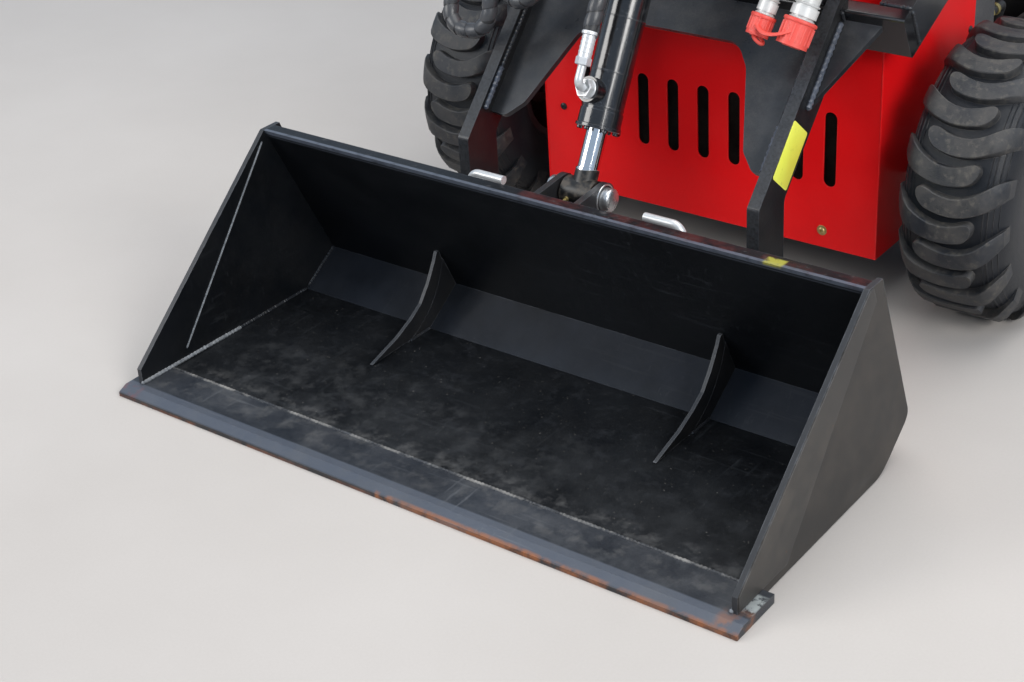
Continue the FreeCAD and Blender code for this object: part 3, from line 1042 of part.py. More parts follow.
def make_arm_hoses():
    """Guide plate, coupler bracket and hose blocks on the lift arm, with the hoses between them."""
    corners = [(-54, -14), (54, -14, 6), (54, 60, 6), (20, 98, 10), (-66, 98, 10), (-86, 80, 10), (-86, 44, 6),
               (-54, 14, 6)]
    holes = []
    starts_up = []
    for z, turn, reach_out in TILT_PORTS:
        way = port_way(turn) * reach_out
        holes.append((way.x, way.y, s.hose_guide))
        starts_up.append(way)
    relief = [(-48, -20), (48, -20), (48, 36, 8), (-48, 36, 8)]
    turned_back = Rotation(Vector(1, 0, 0), 180 + s.tilt_lean - 90)
    origin = Vector(0, TILT_BASE.x - BACK, TILT_BASE.y)
    guide = plate("GuidePlate", "XY_Plane", corners, "12", holes)
    gap = plate("GuideRelief", "XY_Plane", relief, "20")
    cheek = box("GuideCheek", "48", "0", "0", "6", "55", "60")
    cheek_hole = bar_x("CheekHole", "40", TILT_BASE.x, TILT_BASE.y, "pin_radius", "20")
    pieces = []
    for piece, base in ((guide, (0, 0, -47)), (gap, (0, 0, -50)), (cheek, (48, -14, -47))):
        piece.setExpression("Placement.Base.x", None)
        piece.setExpression("Placement.Base.y", None)
        piece.setExpression("Placement.Base.z", None)
        piece.Placement = Placement(origin, turned_back).multiply(Placement(Vector(*base), Rotation()))
        pieces.append(piece)
    guide_cut = cut("GuideOpen", guide, [gap])
    cheek_cut = cut("CheekOpen", cheek, [cheek_hole])
    guide_whole = fuse("GuideWhole", [guide_cut, cheek_cut, mirrored("CheekOther", cheek_cut)])

    cap_way = Vector(0.15, 0.47, 0.87).normalize()
    spots = [("Small", Vector(193, 650, 500), s.cap_small, 28), ("Large", Vector(249, 650, 494), s.cap_large, 36)]
    caps = []
    bodies = []
    starts = []
    for word, low, radius, tall in spots:
        top = low + cap_way * tall
        caps.append(round_run("Cap" + word, low, top, radius))
        neck = round_run("Neck" + word, top + cap_way * s.seat_gap, low + cap_way * 104, radius * 0.72)
        collar = round_run("Collar" + word, low + cap_way * (tall + 8), low + cap_way * (tall + 22), radius * 0.86)
        bodies.append(fuse("Coupler" + word, [neck, collar]))
        starts.append(low + cap_way * (104 + s.seat_gap))
    node("coupler_caps", group("CouplerCaps", caps))
    node("couplers", group("Couplers", bodies))

    run = rise(s.boom_slope)
    seat_a = TUBE_CORNER + run * 3
    seat_b = TUBE_CORNER + run * (s.tube_deep - 3)
    mid = spots[0][1] + cap_way * 72
    back = Vector(0, cap_way.z, -cap_way.y).normalize()
    up = Vector(0, cap_way.y, cap_way.z).normalize()
    front = mid - back * 30
    rear = mid + back * 36
    front_up = front + up * 12
    rear_up = rear + up * 12
    strut = side_plate("CouplerStrut", "160", [(seat_a.x, seat_a.y), (seat_b.x, seat_b.y), (rear_up.y, rear_up.z),
                                               (rear.y, rear.z)], "86")
    shelf = side_plate("CouplerShelf", "160", [(front.y, front.z), (rear.y, rear.z), (rear_up.y, rear_up.z),
                                               (front_up.y, front_up.z)], "126")
    shelf_cutters = []
    for word, low, radius, tall in spots:
        shelf_cutters.append(round_run("ShelfHole" + word, low, low + cap_way * 120, radius * 0.72 + s.seat_gap))
    shelf_whole = cut("CouplerBracket", fuse("CouplerPlate", [strut, shelf]), shelf_cutters)

    blocks = []
    for word, sign in (("Left", 1), ("Right", -1)):
        near = BOOM_START + run * s.block_run + across(s.boom_slope) * (s.tube_tall / 2)
        far = near + run * s.block_long
        up = across(s.boom_slope) * s.block_tall
        outline_ = [(near.x, near.y), (far.x, far.y), (far.x + up.x, far.y + up.y), (near.x + up.x, near.y + up.y)]
        x = "tube_end - boom_width" if sign > 0 else "-tube_end"
        blocks.append(side_plate("HoseBlock" + word, x, outline_, "boom_width"))
    node("hose_brackets", group("HoseBrackets", [guide_whole, shelf_whole] + blocks))

    lift = s.hose_radius + s.seat_gap
    mid_x = s.tube_end - s.boom_width / 2
    inner_x = mid_x - s.hose_gap / 2
    outer_x = mid_x + s.hose_gap / 2
    end_run = s.block_run - s.seat_gap
    routes = []
    for start, x in zip(starts, (inner_x, outer_x)):
        routes.append([tuple(start), tuple(start + cap_way * 44), (x, 768, 618), on_boom(110, lift, x),
                       on_boom(end_run, lift, x)])
    first, second = starts_up
    top_first = at_tilt(first.x, first.y, -126)
    top_second = at_tilt(second.x, second.y, -94)
    routes.append([at_tilt(first.x, first.y, -47.3), top_first + (60,), (-250, 704, top_first[2] - 6, 60),
                   (-272, 616, 436), (-352, 616, 432), (-outer_x, 690, 600), (-outer_x, 775, 640),
                   on_boom(110, lift, -outer_x), on_boom(end_run, lift, -outer_x)])
    routes.append([at_tilt(second.x, second.y, -47.3), top_second + (44,), (-150, top_second[1], top_second[2], 44),
                   (-142, 640, 556, 50), (-247, 616, 445), (-256, 660, 600), (-inner_x, 775, 630),
                   on_boom(110, lift, -inner_x), on_boom(end_run, lift, -inner_x)])
    node("arm_hoses", group("ArmHoses", [tube("ArmHose%d" % k, route, s.hose_radius, s.hose_bend)
                                         for k, route in enumerate(routes)]))


make_bucket()
make_carrier()
make_arm()
make_rams()
make_tilt_hoses()
make_arm_hoses()
make_wheels()
make_axles()
make_frame()
make_cover()
make_towers()
make_engine_bay()
make_hood()
make_lamps()
make_station()
doc.recompute()

for piece in doc.Objects:
    if "Invalid" in piece.State or "Error" in piece.State:
        raise SystemExit("%s did not build: %s" % (piece.Label, piece.State))
for piece in NODES:
    shape = piece.Shape
    if shape.isNull() or not shape.isValid() or not shape.Solids:
        raise SystemExit("%s has no valid solid" % piece.Label)
    shape.exportStep("parts/%s.step" % piece.Label)
    box_of = shape.BoundBox
    print("%-20s solids %d  y %.1f to %.1f  z %.1f to %.1f" % (
        piece.Label, len(shape.Solids), box_of.YMin, box_of.YMax, box_of.ZMin, box_of.ZMax))
print("nodes", len(NODES))
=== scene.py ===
import math
import random

import bmesh
import bpy
from mathutils import Matrix, Vector


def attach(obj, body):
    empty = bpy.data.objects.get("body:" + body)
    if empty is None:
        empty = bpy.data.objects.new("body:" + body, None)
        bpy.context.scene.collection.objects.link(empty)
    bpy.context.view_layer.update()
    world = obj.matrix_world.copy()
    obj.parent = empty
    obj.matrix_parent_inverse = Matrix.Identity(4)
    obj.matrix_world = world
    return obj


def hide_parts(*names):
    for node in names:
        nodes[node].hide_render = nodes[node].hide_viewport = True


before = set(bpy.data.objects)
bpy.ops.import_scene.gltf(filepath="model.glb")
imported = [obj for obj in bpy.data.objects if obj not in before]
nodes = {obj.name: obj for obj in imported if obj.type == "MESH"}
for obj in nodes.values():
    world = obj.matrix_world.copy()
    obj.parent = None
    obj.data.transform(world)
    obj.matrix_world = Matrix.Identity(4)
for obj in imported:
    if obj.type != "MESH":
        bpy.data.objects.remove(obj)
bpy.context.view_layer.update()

# Real sizes in metres. A station is the distance behind the cutting edge.
HALF_LENGTH = 1.12
WHEEL_RADIUS = 0.2285
WHEEL_X = 0.456
FRONT_AXLE = 0.958
REAR_AXLE = 1.668
WHEELS = {"front_left": (1, FRONT_AXLE), "front_right": (-1, FRONT_AXLE),
          "rear_left": (1, REAR_AXLE), "rear_right": (-1, REAR_AXLE)}
SIDES = (1, -1)
X = Vector((1, 0, 0))
Y = Vector((0, 1, 0))
Z = Vector((0, 0, 1))


def at(x, station, z):
    """Point in the object's frame from its offset to the left, station and height."""
    return Vector((x, station - HALF_LENGTH, z))


def slope(degrees):
    """Directions along a slope towards the rear and square to it, to the front."""
    a = math.radians(degrees)
    return Vector((0, math.cos(a), math.sin(a))), Vector((0, -math.sin(a), math.cos(a)))


# Tilt cylinder, from its rod eye up to its base pin, and the booms
RAM_LEAN = 61.5
RAM_LENGTH = 0.51
RAM_UP, RAM_FRONT = slope(RAM_LEAN)
ROD_EYE = at(0, 0.4765, 0.2786)
RAM_BASE = ROD_EYE + RAM_UP * RAM_LENGTH
BOOM_LEAN = 25.7
BOOM_HALF = 0.037
BOOM_RUN, BOOM_TOP = slope(BOOM_LEAN)
BOOM_START = at(0, 0.79047, 0.49694)
# Lift cylinders, from their base pins on the chassis up to their eyes at the booms
LIFT_BASE = at(0, 1.85, 0.4)
LIFT_EYE = at(0, 1.42629, 0.72303)


def on_ram(x, y, z):
    """Point in the tilt cylinder's directions: across, to its front, from the base pin to the rod eye."""
    return RAM_BASE + X * x + RAM_FRONT * y - RAM_UP * z


def on_boom(run, lift, x):
    """Point above a boom's top face."""
    return BOOM_START + BOOM_RUN * run + BOOM_TOP * (BOOM_HALF + lift) + X * x


# Mesh tools
SMOOTH_ANGLE = math.radians(38)
ARC_POINTS = 16


def turns(count, start=0.0):
    """Angles spread evenly round a circle."""
    return [start + 2 * math.pi * k / count for k in range(count)]


class Shape:
    """Collects vertices and faces of one piece."""

    def __init__(self):
        self.verts = []
        self.faces = []

    def rings(self, rings, closed=True, caps=True):
        """Skin over rings of points that all have the same count."""
        first = len(self.verts)
        count = len(rings[0])
        for ring in rings:
            self.verts.extend(ring)
        for r in range(len(rings) - 1):
            for k in range(count if closed else count - 1):
                a = first + r * count + k
                b = first + r * count + (k + 1) % count
                self.faces.append((a, b, b + count, a + count))
        if caps:
            self.faces.append(tuple(first + k for k in range(count))[::-1])
            self.faces.append(tuple(first + (len(rings) - 1) * count + k for k in range(count)))

    def made(self, name, finish, body, slot=None, smooth=True):
        """Turns the collected faces into a piece that rides on a body."""
        mesh = bpy.data.meshes.new(name)
        mesh.from_pydata([tuple(v) for v in self.verts], [], self.faces)
        outward = bmesh.new()
        outward.from_mesh(mesh)
        bmesh.ops.recalc_face_normals(outward, faces=outward.faces)
        outward.to_mesh(mesh)
        outward.free()
        for face in mesh.polygons:
            face.use_smooth = smooth
        mesh.materials.append(finish)
        piece = bpy.data.objects.new(name, mesh)
        bpy.context.scene.collection.objects.link(piece)
        if smooth:
            mesh.set_sharp_from_angle(angle=SMOOTH_ANGLE)
        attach(piece, body)
        return piece


def square_to(axis):
    """Two directions square to an axis and to each other."""
    axis = Vector(axis).normalized()
    side = axis.cross(Z)
    if side.length < 0.1:
        side = axis.cross(Y)
    side.normalize()
    return side, axis.cross(side).normalized()


def lathe(shape, profile, centre, axis, steps=32, turn=0.0):
    """Round form: profile rows are (distance along the axis, radius)."""
    axis = Vector(axis).normalized()
    side, other = square_to(axis)
    rings = []
    for along, radius in profile:
        rings.append([centre + axis * along + side * (radius * math.cos(a)) + other * (radius * math.sin(a))
                      for a in turns(steps, turn)])
    shape.rings(rings)


def hoop(shape, centre, axis, radius, thick, steps=40, sides=8, tall=None):
    """Round ring about an axis; tall stretches its section along the axis."""
    axis = Vector(axis).normalized()
    side, other = square_to(axis)
    tall = tall or thick
    rings = []
    for k in range(steps + 1):
        a = 2 * math.pi * k / steps
        out = side * math.cos(a) + other * math.sin(a)
        rings.append([centre + out * (radius + thick * math.cos(b)) + axis * (tall * math.sin(b))
                      for b in turns(sides)])
    shape.rings(rings, caps=False)


def route(corners, bend, step=0.006):
    """Evenly spaced points along straight runs joined by arcs; a corner is a point or (point, bend)."""
    spots = [c if isinstance(c, tuple) else (c, bend) for c in corners]
    line = [spots[0][0]]
    for before, (here, size), after in zip(spots, spots[1:], spots[2:]):
        into = (before[0] - here).normalized()
        out = (after[0] - here).normalized()
        half = into.angle(out) / 2
        reach = size / math.tan(half)
        middle = here + (into + out).normalized() * (size / math.sin(half))
        start, end = here + into * reach - middle, here + out * reach - middle
        for k in range(ARC_POINTS + 1):
            line.append(middle + start.slerp(end, k / ARC_POINTS).normalized() * size)
    line.append(spots[-1][0])
    even = [line[0]]
    for point in line[1:]:
        gap = (point - even[-1]).length
        if gap < step * 0.5:
            continue
        parts = max(1, round(gap / step))
        start = even[-1].copy()
        even.extend(start.lerp(point, (k + 1) / parts) for k in range(parts))
    return even


def sweep(shape, path, radius, sides=12, flat=1.0):
    """Round bar along a path; radius is a number or a list, flat squeezes it across."""
    side = None
    rings = []
    for k, point in enumerate(path):
        ahead = path[min(k + 1, len(path) - 1)] - path[max(k - 1, 0)]
        ahead.normalize()
        if side is None:
            side = square_to(ahead)[0]
        side = (side - ahead * side.dot(ahead)).normalized()
        other = ahead.cross(side)
        size = radius[k] if isinstance(radius, list) else radius
        rings.append([point + side * (size * math.cos(a)) + other * (size * flat * math.sin(a))
                      for a in turns(sides)])
    shape.rings(rings)


def wind(shape, path, radius, pitch, width, thick, turn_steps=14):
    """Flat guard strip wound round a hose."""
    lengths = [0.0]
    for a, b in zip(path, path[1:]):
        lengths.append(lengths[-1] + (b - a).length)
    sides = []
    side = None
    for k in range(len(path)):
        ahead = (path[min(k + 1, len(path) - 1)] - path[max(k - 1, 0)]).normalized()
        side = square_to(ahead)[0] if side is None else (side - ahead * side.dot(ahead)).normalized()
        sides.append((ahead, side.copy()))
    count = int(lengths[-1] / pitch * turn_steps)
    rings = []
    k = 0
    for i in range(count + 1):
        run = min(i * pitch / turn_steps, lengths[-1] - 1e-6)
        while lengths[k + 1] < run:
            k += 1
        share = (run - lengths[k]) / (lengths[k + 1] - lengths[k])
        middle = path[k].lerp(path[k + 1], share)
        ahead, first = sides[k]
        a = 2 * math.pi * i / turn_steps
        out = first * math.cos(a) + ahead.cross(first) * math.sin(a)
        rings.append([middle + ahead * (width * u) + out * (radius + thick * h)
                      for u, h in ((-0.5, 0), (0.5, 0), (0.5, 0.5), (0.2, 1), (-0.2, 1), (-0.5, 0.5))])
    shape.rings(rings)


def bead(shape, start, end, width, seed):
    """Weld bead with its ripples between two points."""
    chance = random.Random(seed)
    count = max(4, int((end - start).length / (width * 0.34)))
    path = [start.lerp(end, k / count) for k in range(count + 1)]
    sizes = [width * (0.5 + 0.09 * math.sin(k * 1.9) + chance.uniform(-0.05, 0.05))
             for k in range(count + 1)]
    sizes[0] = sizes[-1] = width * 0.2
    sweep(shape, path, sizes, 8)


def bolt(shape, centre, axis, radius, height, turn=0.3):
    """Hexagon head with its washer."""
    washer = [(0, radius * 1.5), (height * 0.2, radius * 1.5), (height * 0.26, radius * 1.42)]
    head = [(height * 0.2, radius), (height * 0.86, radius), (height, radius * 0.84)]
    lathe(shape, washer, centre, axis, 24)
    lathe(shape, head, centre, axis, 6, turn)


def button(shape, centre, axis, radius, height):
    """Domed screw head with a socket."""
    dome = [(0, radius), (height * 0.35, radius), (height * 0.75, radius * 0.8), (height, radius * 0.45)]
    socket = [(height * 0.98, radius * 0.36), (height * 0.5, radius * 0.34)]
    lathe(shape, dome + socket, centre, axis, 20)


def rounded(width, height, corner, steps=5):
    """Rounded rectangle round its middle, as pairs."""
    out = []
    for cx, cy, first in ((1, 1, 0), (-1, 1, 90), (-1, -1, 180), (1, -1, 270)):
        for k in range(steps + 1):
            a = math.radians(first + 90 * k / steps)
            out.append((cx * (width / 2 - corner) + corner * math.cos(a),
                        cy * (height / 2 - corner) + corner * math.sin(a)))
    return out


def slab(shape, outline, origin, across, up, thick, soften=0.985):
    """Plate with a softened rim: outline pairs lie along across and up."""
    out = across.cross(up)
    mid_a = sum(p[0] for p in outline) / len(outline)
    mid_b = sum(p[1] for p in outline) / len(outline)
    rings = []
    for level, shrink in ((0, 1.0), (0.7, 1.0), (1.0, soften)):
        rings.append([origin + across * (mid_a + (a - mid_a) * shrink) + up * (mid_b + (b - mid_b) * shrink)
                      + out * (thick * level) for a, b in outline])
    shape.rings(rings)


# Surface effects that several materials share
def new_group(name, inputs, outputs=(("Mask", "Float"),)):
    """Empty shader group; an input's value says whether it is a number, a vector or a colour."""
    tree = bpy.data.node_groups.new(name, "ShaderNodeTree")
    for label, value in inputs.items():
        kind = {3: "Vector", 4: "Color"}[len(value)] if isinstance(value, tuple) else "Float"
        socket = tree.interface.new_socket(name=label, in_out="INPUT", socket_type="NodeSocket" + kind)
        socket.default_value = value
    for label, kind in outputs:
        tree.interface.new_socket(name=label, in_out="OUTPUT", socket_type="NodeSocket" + kind)
    return tree, tree.nodes.new("NodeGroupInput").outputs, tree.nodes.new("NodeGroupOutput").inputs


def add(tree, kind, settings, inputs):
    """Adds a node; a socket given as input is linked, anything else is set."""
    made = tree.nodes.new("ShaderNode" + kind)
    for key, value in settings.items():
        setattr(made, key, value)
    for key, value in inputs.items():
        if isinstance(value, bpy.types.NodeSocket):
            tree.links.new(value, made.inputs[key])
        else:
            made.inputs[key].default_value = value
    return made


def math_node(tree, operation, a, b, clamp=False):
    """Result of a sum, product or like step on two values."""
    return add(tree, "Math", {"operation": operation, "use_clamp": clamp}, {0: a, 1: b}).outputs[0]


def vector_node(tree, operation, a, b=None, out=0):
    """Result of a step on one or two vectors."""
    inputs = {0: a} if b is None else {0: a, 1: b}
    return add(tree, "VectorMath", {"operation": operation}, inputs).outputs[out]


def facing_of(tree, kind, output):
    """Parts of a direction that a node gives."""
    return add(tree, "SeparateXYZ", {}, {0: add(tree, kind, {}, {}).outputs[output]}).outputs


def noise(tree, scale, detail, rough, stretch=None):
    """Noise in the object's own frame."""
    place = add(tree, "TexCoord", {}, {}).outputs["Object"]
    if stretch:
        place = add(tree, "Mapping", {}, {"Vector": place, "Scale": stretch}).outputs[0]
    values = {"Vector": place, "Scale": scale, "Detail": detail, "Roughness": rough}
    return add(tree, "TexNoise", {}, values).outputs[0]


def spread(tree, value, low, high, to_low=0.0, to_high=1.0):
    """Stretches the span from low to high over the span of the result."""
    spans = {"Value": value, "From Min": low, "From Max": high, "To Min": to_low, "To Max": to_high}
    return add(tree, "MapRange", {}, spans).outputs[0]


def over(tree, mask, under, colour):
    """Lays a colour over another by a mask."""
    return add(tree, "Mix", {"data_type": "RGBA"}, {0: mask, 6: under, 7: colour}).outputs[2]


def make_edge_wear():
    """Broken wear along edges, where a rounded normal leaves the true one."""
    tree, given, result = new_group("edge_wear", {"Radius": 0.002, "Amount": 1.0, "Patch scale": 40.0})
    soft = add(tree, "Bevel", {"samples": 4}, {"Radius": given["Radius"]}).outputs[0]
    true = add(tree, "NewGeometry", {}, {}).outputs["Normal"]
    alike = vector_node(tree, "DOT_PRODUCT", soft, true, "Value")
    edge = spread(tree, alike, 0.995, 0.86)
    patch = spread(tree, noise(tree, given["Patch scale"], 6.0, 0.7), 0.38, 0.62)
    mask = math_node(tree, "MULTIPLY", math_node(tree, "MULTIPLY", edge, patch), given["Amount"], True)
    tree.links.new(mask, result["Mask"])
    return tree


def make_dust():
    """Clouds and specks of dust, thicker on faces that look up."""
    tree, given, result = new_group("settled_dust", {"Amount": 0.3, "Scale": 14.0, "Top": 0.7})
    facing = facing_of(tree, "NewGeometry", "Normal")[2]
    level = spread(tree, facing, -0.2, 1.0, 0.25, 1.0)
    level = math_node(tree, "POWER", level, given["Top"])
    cloud = spread(tree, noise(tree, given["Scale"], 8.0, 0.68), 0.36, 0.72)
    speck = spread(tree, noise(tree, 420.0, 2.0, 0.6), 0.42, 0.66, 0.55, 1.0)
    mask = math_node(tree, "MULTIPLY", math_node(tree, "MULTIPLY", level, cloud), speck)
    tree.links.new(math_node(tree, "MULTIPLY", mask, given["Amount"], True), result["Mask"])
    return tree


def make_mottle():
    """Broad and fine patches between two shades."""
    shades = {"Dark": (0, 0, 0, 1), "Light": (1, 1, 1, 1), "Scale": 9.0}
    tree, given, result = new_group("mottle", shades, [("Color", "Color"), ("Value", "Float")])
    broad = spread(tree, noise(tree, given["Scale"], 6.0, 0.6), 0.3, 0.72)
    fine = spread(tree, noise(tree, 260.0, 3.0, 0.6), 0.3, 0.7)
    broad, fine = math_node(tree, "MULTIPLY", broad, 0.75), math_node(tree, "MULTIPLY", fine, 0.25)
    value = math_node(tree, "ADD", broad, fine)
    colour = over(tree, value, given["Dark"], given["Light"])
    tree.links.new(colour, result["Color"])
    tree.links.new(value, result["Value"])
    return tree


def make_scratches():
    """Patches of fine scratches along the floor and across it."""
    tree, given, result = new_group("scratches", {"Amount": 0.3, "Scale": 6.0})
    bands = []
    for k, stretch in enumerate(((1.0, 26.0, 9.0), (22.0, 1.5, 12.0))):
        line = noise(tree, given["Scale"], 5.0, 0.62, stretch)
        bands.append(spread(tree, line, 0.6 + 0.01 * k, 0.66))
    both = math_node(tree, "MAXIMUM", bands[0], bands[1])
    patch = spread(tree, noise(tree, 3.4, 3.0, 0.5), 0.42, 0.64)
    mask = math_node(tree, "MULTIPLY", math_node(tree, "MULTIPLY", both, patch), given["Amount"], True)
    tree.links.new(mask, result["Mask"])
    return tree


def make_zone():
    """Box on the object, with a soft rim."""
    tree, given, result = new_group("zone", {"Centre": (0, 0, 0), "Half": (1, 1, 1), "Soft": 0.002})
    place = add(tree, "TexCoord", {}, {}).outputs["Object"]
    away = vector_node(tree, "ABSOLUTE", vector_node(tree, "SUBTRACT", place, given["Centre"]))
    room = vector_node(tree, "SUBTRACT", given["Half"], away)
    parts = add(tree, "SeparateXYZ", {}, {0: room}).outputs
    least = math_node(tree, "MINIMUM", math_node(tree, "MINIMUM", parts[0], parts[1]), parts[2])
    share = math_node(tree, "DIVIDE", least, given["Soft"])
    tree.links.new(math_node(tree, "ADD", share, 0.5, True), result["Mask"])
    return tree


def make_facing():
    """Faces that look a given way, in the object's own frame."""
    tree, given, result = new_group("facing", {"Way": (0, 0, 1), "Low": 0.4, "High": 0.7})
    normal = add(tree, "TexCoord", {}, {}).outputs["Normal"]
    alike = vector_node(tree, "DOT_PRODUCT", normal, given["Way"], "Value")
    tree.links.new(spread(tree, alike, given["Low"], given["High"]), result["Mask"])
    return tree


def make_cut_edge():
    """Narrow faces of an upright plate that lies along the machine."""
    tree, given, result = new_group("cut_edge", {"Amount": 1.0})
    flank = facing_of(tree, "TexCoord", "Normal")[0]
    mask = spread(tree, math_node(tree, "ABSOLUTE", flank, 0.0), 0.6, 0.4)
    tree.links.new(math_node(tree, "MULTIPLY", mask, given["Amount"], True), result["Mask"])
    return tree


def make_round():
    """Inside of a circle about a line across the machine."""
    tree, given, result = new_group("round_about", {"Centre": (0, 0, 0), "Radius": 0.03, "Soft": 0.001})
    place = add(tree, "TexCoord", {}, {}).outputs["Object"]
    away = vector_node(tree, "MULTIPLY", vector_node(tree, "SUBTRACT", place, given["Centre"]), (0, 1, 1))
    reach = vector_node(tree, "LENGTH", away, out="Value")
    share = math_node(tree, "DIVIDE", math_node(tree, "SUBTRACT", given["Radius"], reach), given["Soft"])
    tree.links.new(math_node(tree, "ADD", share, 0.5, True), result["Mask"])
    return tree


def make_patches():
    """Irregular patches; Low and High set how much they cover and how soft they end."""
    tree, given, result = new_group("patches", {"Scale": 20.0, "Low": 0.5, "High": 0.6})
    cloud = noise(tree, given["Scale"], 6.0, 0.65)
    tree.links.new(spread(tree, cloud, given["Low"], given["High"]), result["Mask"])
    return tree


EDGE_WEAR = make_edge_wear()
DUST = make_dust()
MOTTLE = make_mottle()
SCRATCHES = make_scratches()
ZONE = make_zone()
FACING = make_facing()
CUT_EDGE = make_cut_edge()
ROUND = make_round()
PATCHES = make_patches()


def effect(tree, group_tree, inputs):
    """Places a shared effect in a material with its own values."""
    placed = tree.nodes.new("ShaderNodeGroup")
    placed.node_tree = group_tree
    for key, value in inputs.items():
        placed.inputs[key].default_value = value
    return placed


def joined(tree, parts, strength):
    """Product of several effects; a part is (effect, its values)."""
    mask = None
    for kind, values in parts:
        here = effect(tree, kind, values).outputs["Mask"]
        mask = here if mask is None else math_node(tree, "MULTIPLY", mask, here)
    return math_node(tree, "MULTIPLY", mask, strength)


# Unit of a finish's bump depth, and how far its roughness varies
BUMP_UNIT = 0.01
MATT_SPAN = 0.12


def finish(name, dark, light, rough, metal=0.0, coat=0.0, scale=9.0, dust=0.0,
           dust_colour=(0.23, 0.2, 0.165), dust_scale=14.0, edge=0.0, edge_colour=(0.3, 0.31, 0.33),
           edge_radius=0.0022, scratch=0.0, scratch_colour=(0.16, 0.17, 0.19), grain=900.0, depth=0.05,
           wave=0.0, specular=0.5, layers=()):
    """Material with mottled colour, worn edges, scratches, dust and a fine bump.

    A layer is (effects, strength, colour, roughness), laid over the base where its effects meet. A fifth
    value is its metal, which is otherwise none.
    """
    made = bpy.data.materials.new(name)
    made.use_nodes = True
    tree = made.node_tree
    shader = tree.nodes["Principled BSDF"]
    mottle = effect(tree, MOTTLE, {"Dark": (*dark, 1), "Light": (*light, 1), "Scale": scale})
    colour = mottle.outputs["Color"]
    roughness = math_node(tree, "MULTIPLY_ADD", mottle.outputs["Value"], MATT_SPAN)
    roughness.node.inputs[2].default_value = rough - MATT_SPAN / 2
    shine = None
    for parts, strength, tint, matt, *metallic in layers:
        metallic = metallic[0] if metallic else 0.0
        mask = joined(tree, parts, strength)
        colour = over(tree, mask, colour, (*tint, 1))
        roughness = add(tree, "Mix", {}, {0: mask, 2: roughness, 3: matt}).outputs[0]
        if metallic != metal:
            shine = add(tree, "Mix", {}, {0: mask, 2: shine or metal, 3: metallic}).outputs[0]
    if scratch:
        mask = effect(tree, SCRATCHES, {"Amount": scratch}).outputs[0]
        colour = over(tree, mask, colour, (*scratch_colour, 1))
        roughness = math_node(tree, "ADD", roughness, math_node(tree, "MULTIPLY", mask, 0.25))
    if edge:
        mask = effect(tree, EDGE_WEAR, {"Amount": edge, "Radius": edge_radius}).outputs[0]
        colour = over(tree, mask, colour, (*edge_colour, 1))
    if dust:
        mask = effect(tree, DUST, {"Amount": dust, "Scale": dust_scale}).outputs[0]
        colour = over(tree, mask, colour, (*dust_colour, 1))
        roughness = math_node(tree, "ADD", roughness, math_node(tree, "MULTIPLY", mask, 0.5), True)
    tree.links.new(colour, shader.inputs["Base Color"])
    tree.links.new(roughness, shader.inputs["Roughness"])
    height = noise(tree, grain, 2.0, 0.6)
    if wave:
        swell = math_node(tree, "MULTIPLY", noise(tree, 18.0, 2.0, 0.5), wave)
        height = math_node(tree, "ADD", height, swell)
    bump = add(tree, "Bump", {}, {"Height": height, "Strength": 0.5, "Distance": depth * BUMP_UNIT})
    tree.links.new(bump.outputs[0], shader.inputs["Normal"])
    shader.inputs["Metallic"].default_value = metal
    if shine:
        tree.links.new(shine, shader.inputs["Metallic"])
    shader.inputs["Coat Weight"].default_value = coat
    shader.inputs["Coat Roughness"].default_value = 0.08
    shader.inputs["Specular IOR Level"].default_value = specular
    return made


def box_zone(centre, half, soft=0.002):
    """Where a surface lies inside a box with a soft rim."""
    return ZONE, {"Centre": centre, "Half": half, "Soft": soft}


def look(way, low, high):
    """Where a surface looks a given way."""
    return FACING, {"Way": way, "Low": low, "High": high}


def patchy(scale, low, high):
    """Irregular patches; the closer low and high are, the harder they end."""
    return PATCHES, {"Scale": scale, "Low": low, "High": high}


CUT = (CUT_EDGE, {"Amount": 1.0})

# Black paints of the arm, the carrier and the frame
satin_black = finish("satin_black", (0.006, 0.0068, 0.0085), (0.018, 0.0205, 0.026), 0.33, coat=0.15,
                     dust=0.2, edge=0.5, edge_colour=(0.11, 0.12, 0.14), wave=1.5, depth=0.03, specular=0.4)
leg_black = finish("leg_black", (0.004, 0.0045, 0.0055), (0.012, 0.0135, 0.0165), 0.34, coat=0.15,
                   dust=0.15, edge=0.5, edge_colour=(0.1, 0.11, 0.13), wave=1.2, depth=0.06,
                   specular=0.35, grain=520.0,
                   layers=[([CUT, patchy(230.0, 0.3, 0.62)], 0.9, (0.034, 0.038, 0.045), 0.5)])
plate_black = finish("plate_black", (0.009, 0.0105, 0.013), (0.024, 0.028, 0.035), 0.3, coat=0.2,
                     dust=0.2, edge=0.5, edge_colour=(0.14, 0.15, 0.17), wave=1.4, depth=0.03,
                     specular=0.45, layers=[([patchy(9.0, 0.52, 0.7)], 0.5, (0.05, 0.052, 0.056), 0.45)])
gloss_black = finish("gloss_black", (0.0035, 0.0038, 0.0045), (0.009, 0.01, 0.0125), 0.15, coat=0.7,
                     dust=0.06, edge=0.4, edge_colour=(0.12, 0.13, 0.15), scratch=0.15, wave=0.6,
                     depth=0.02)
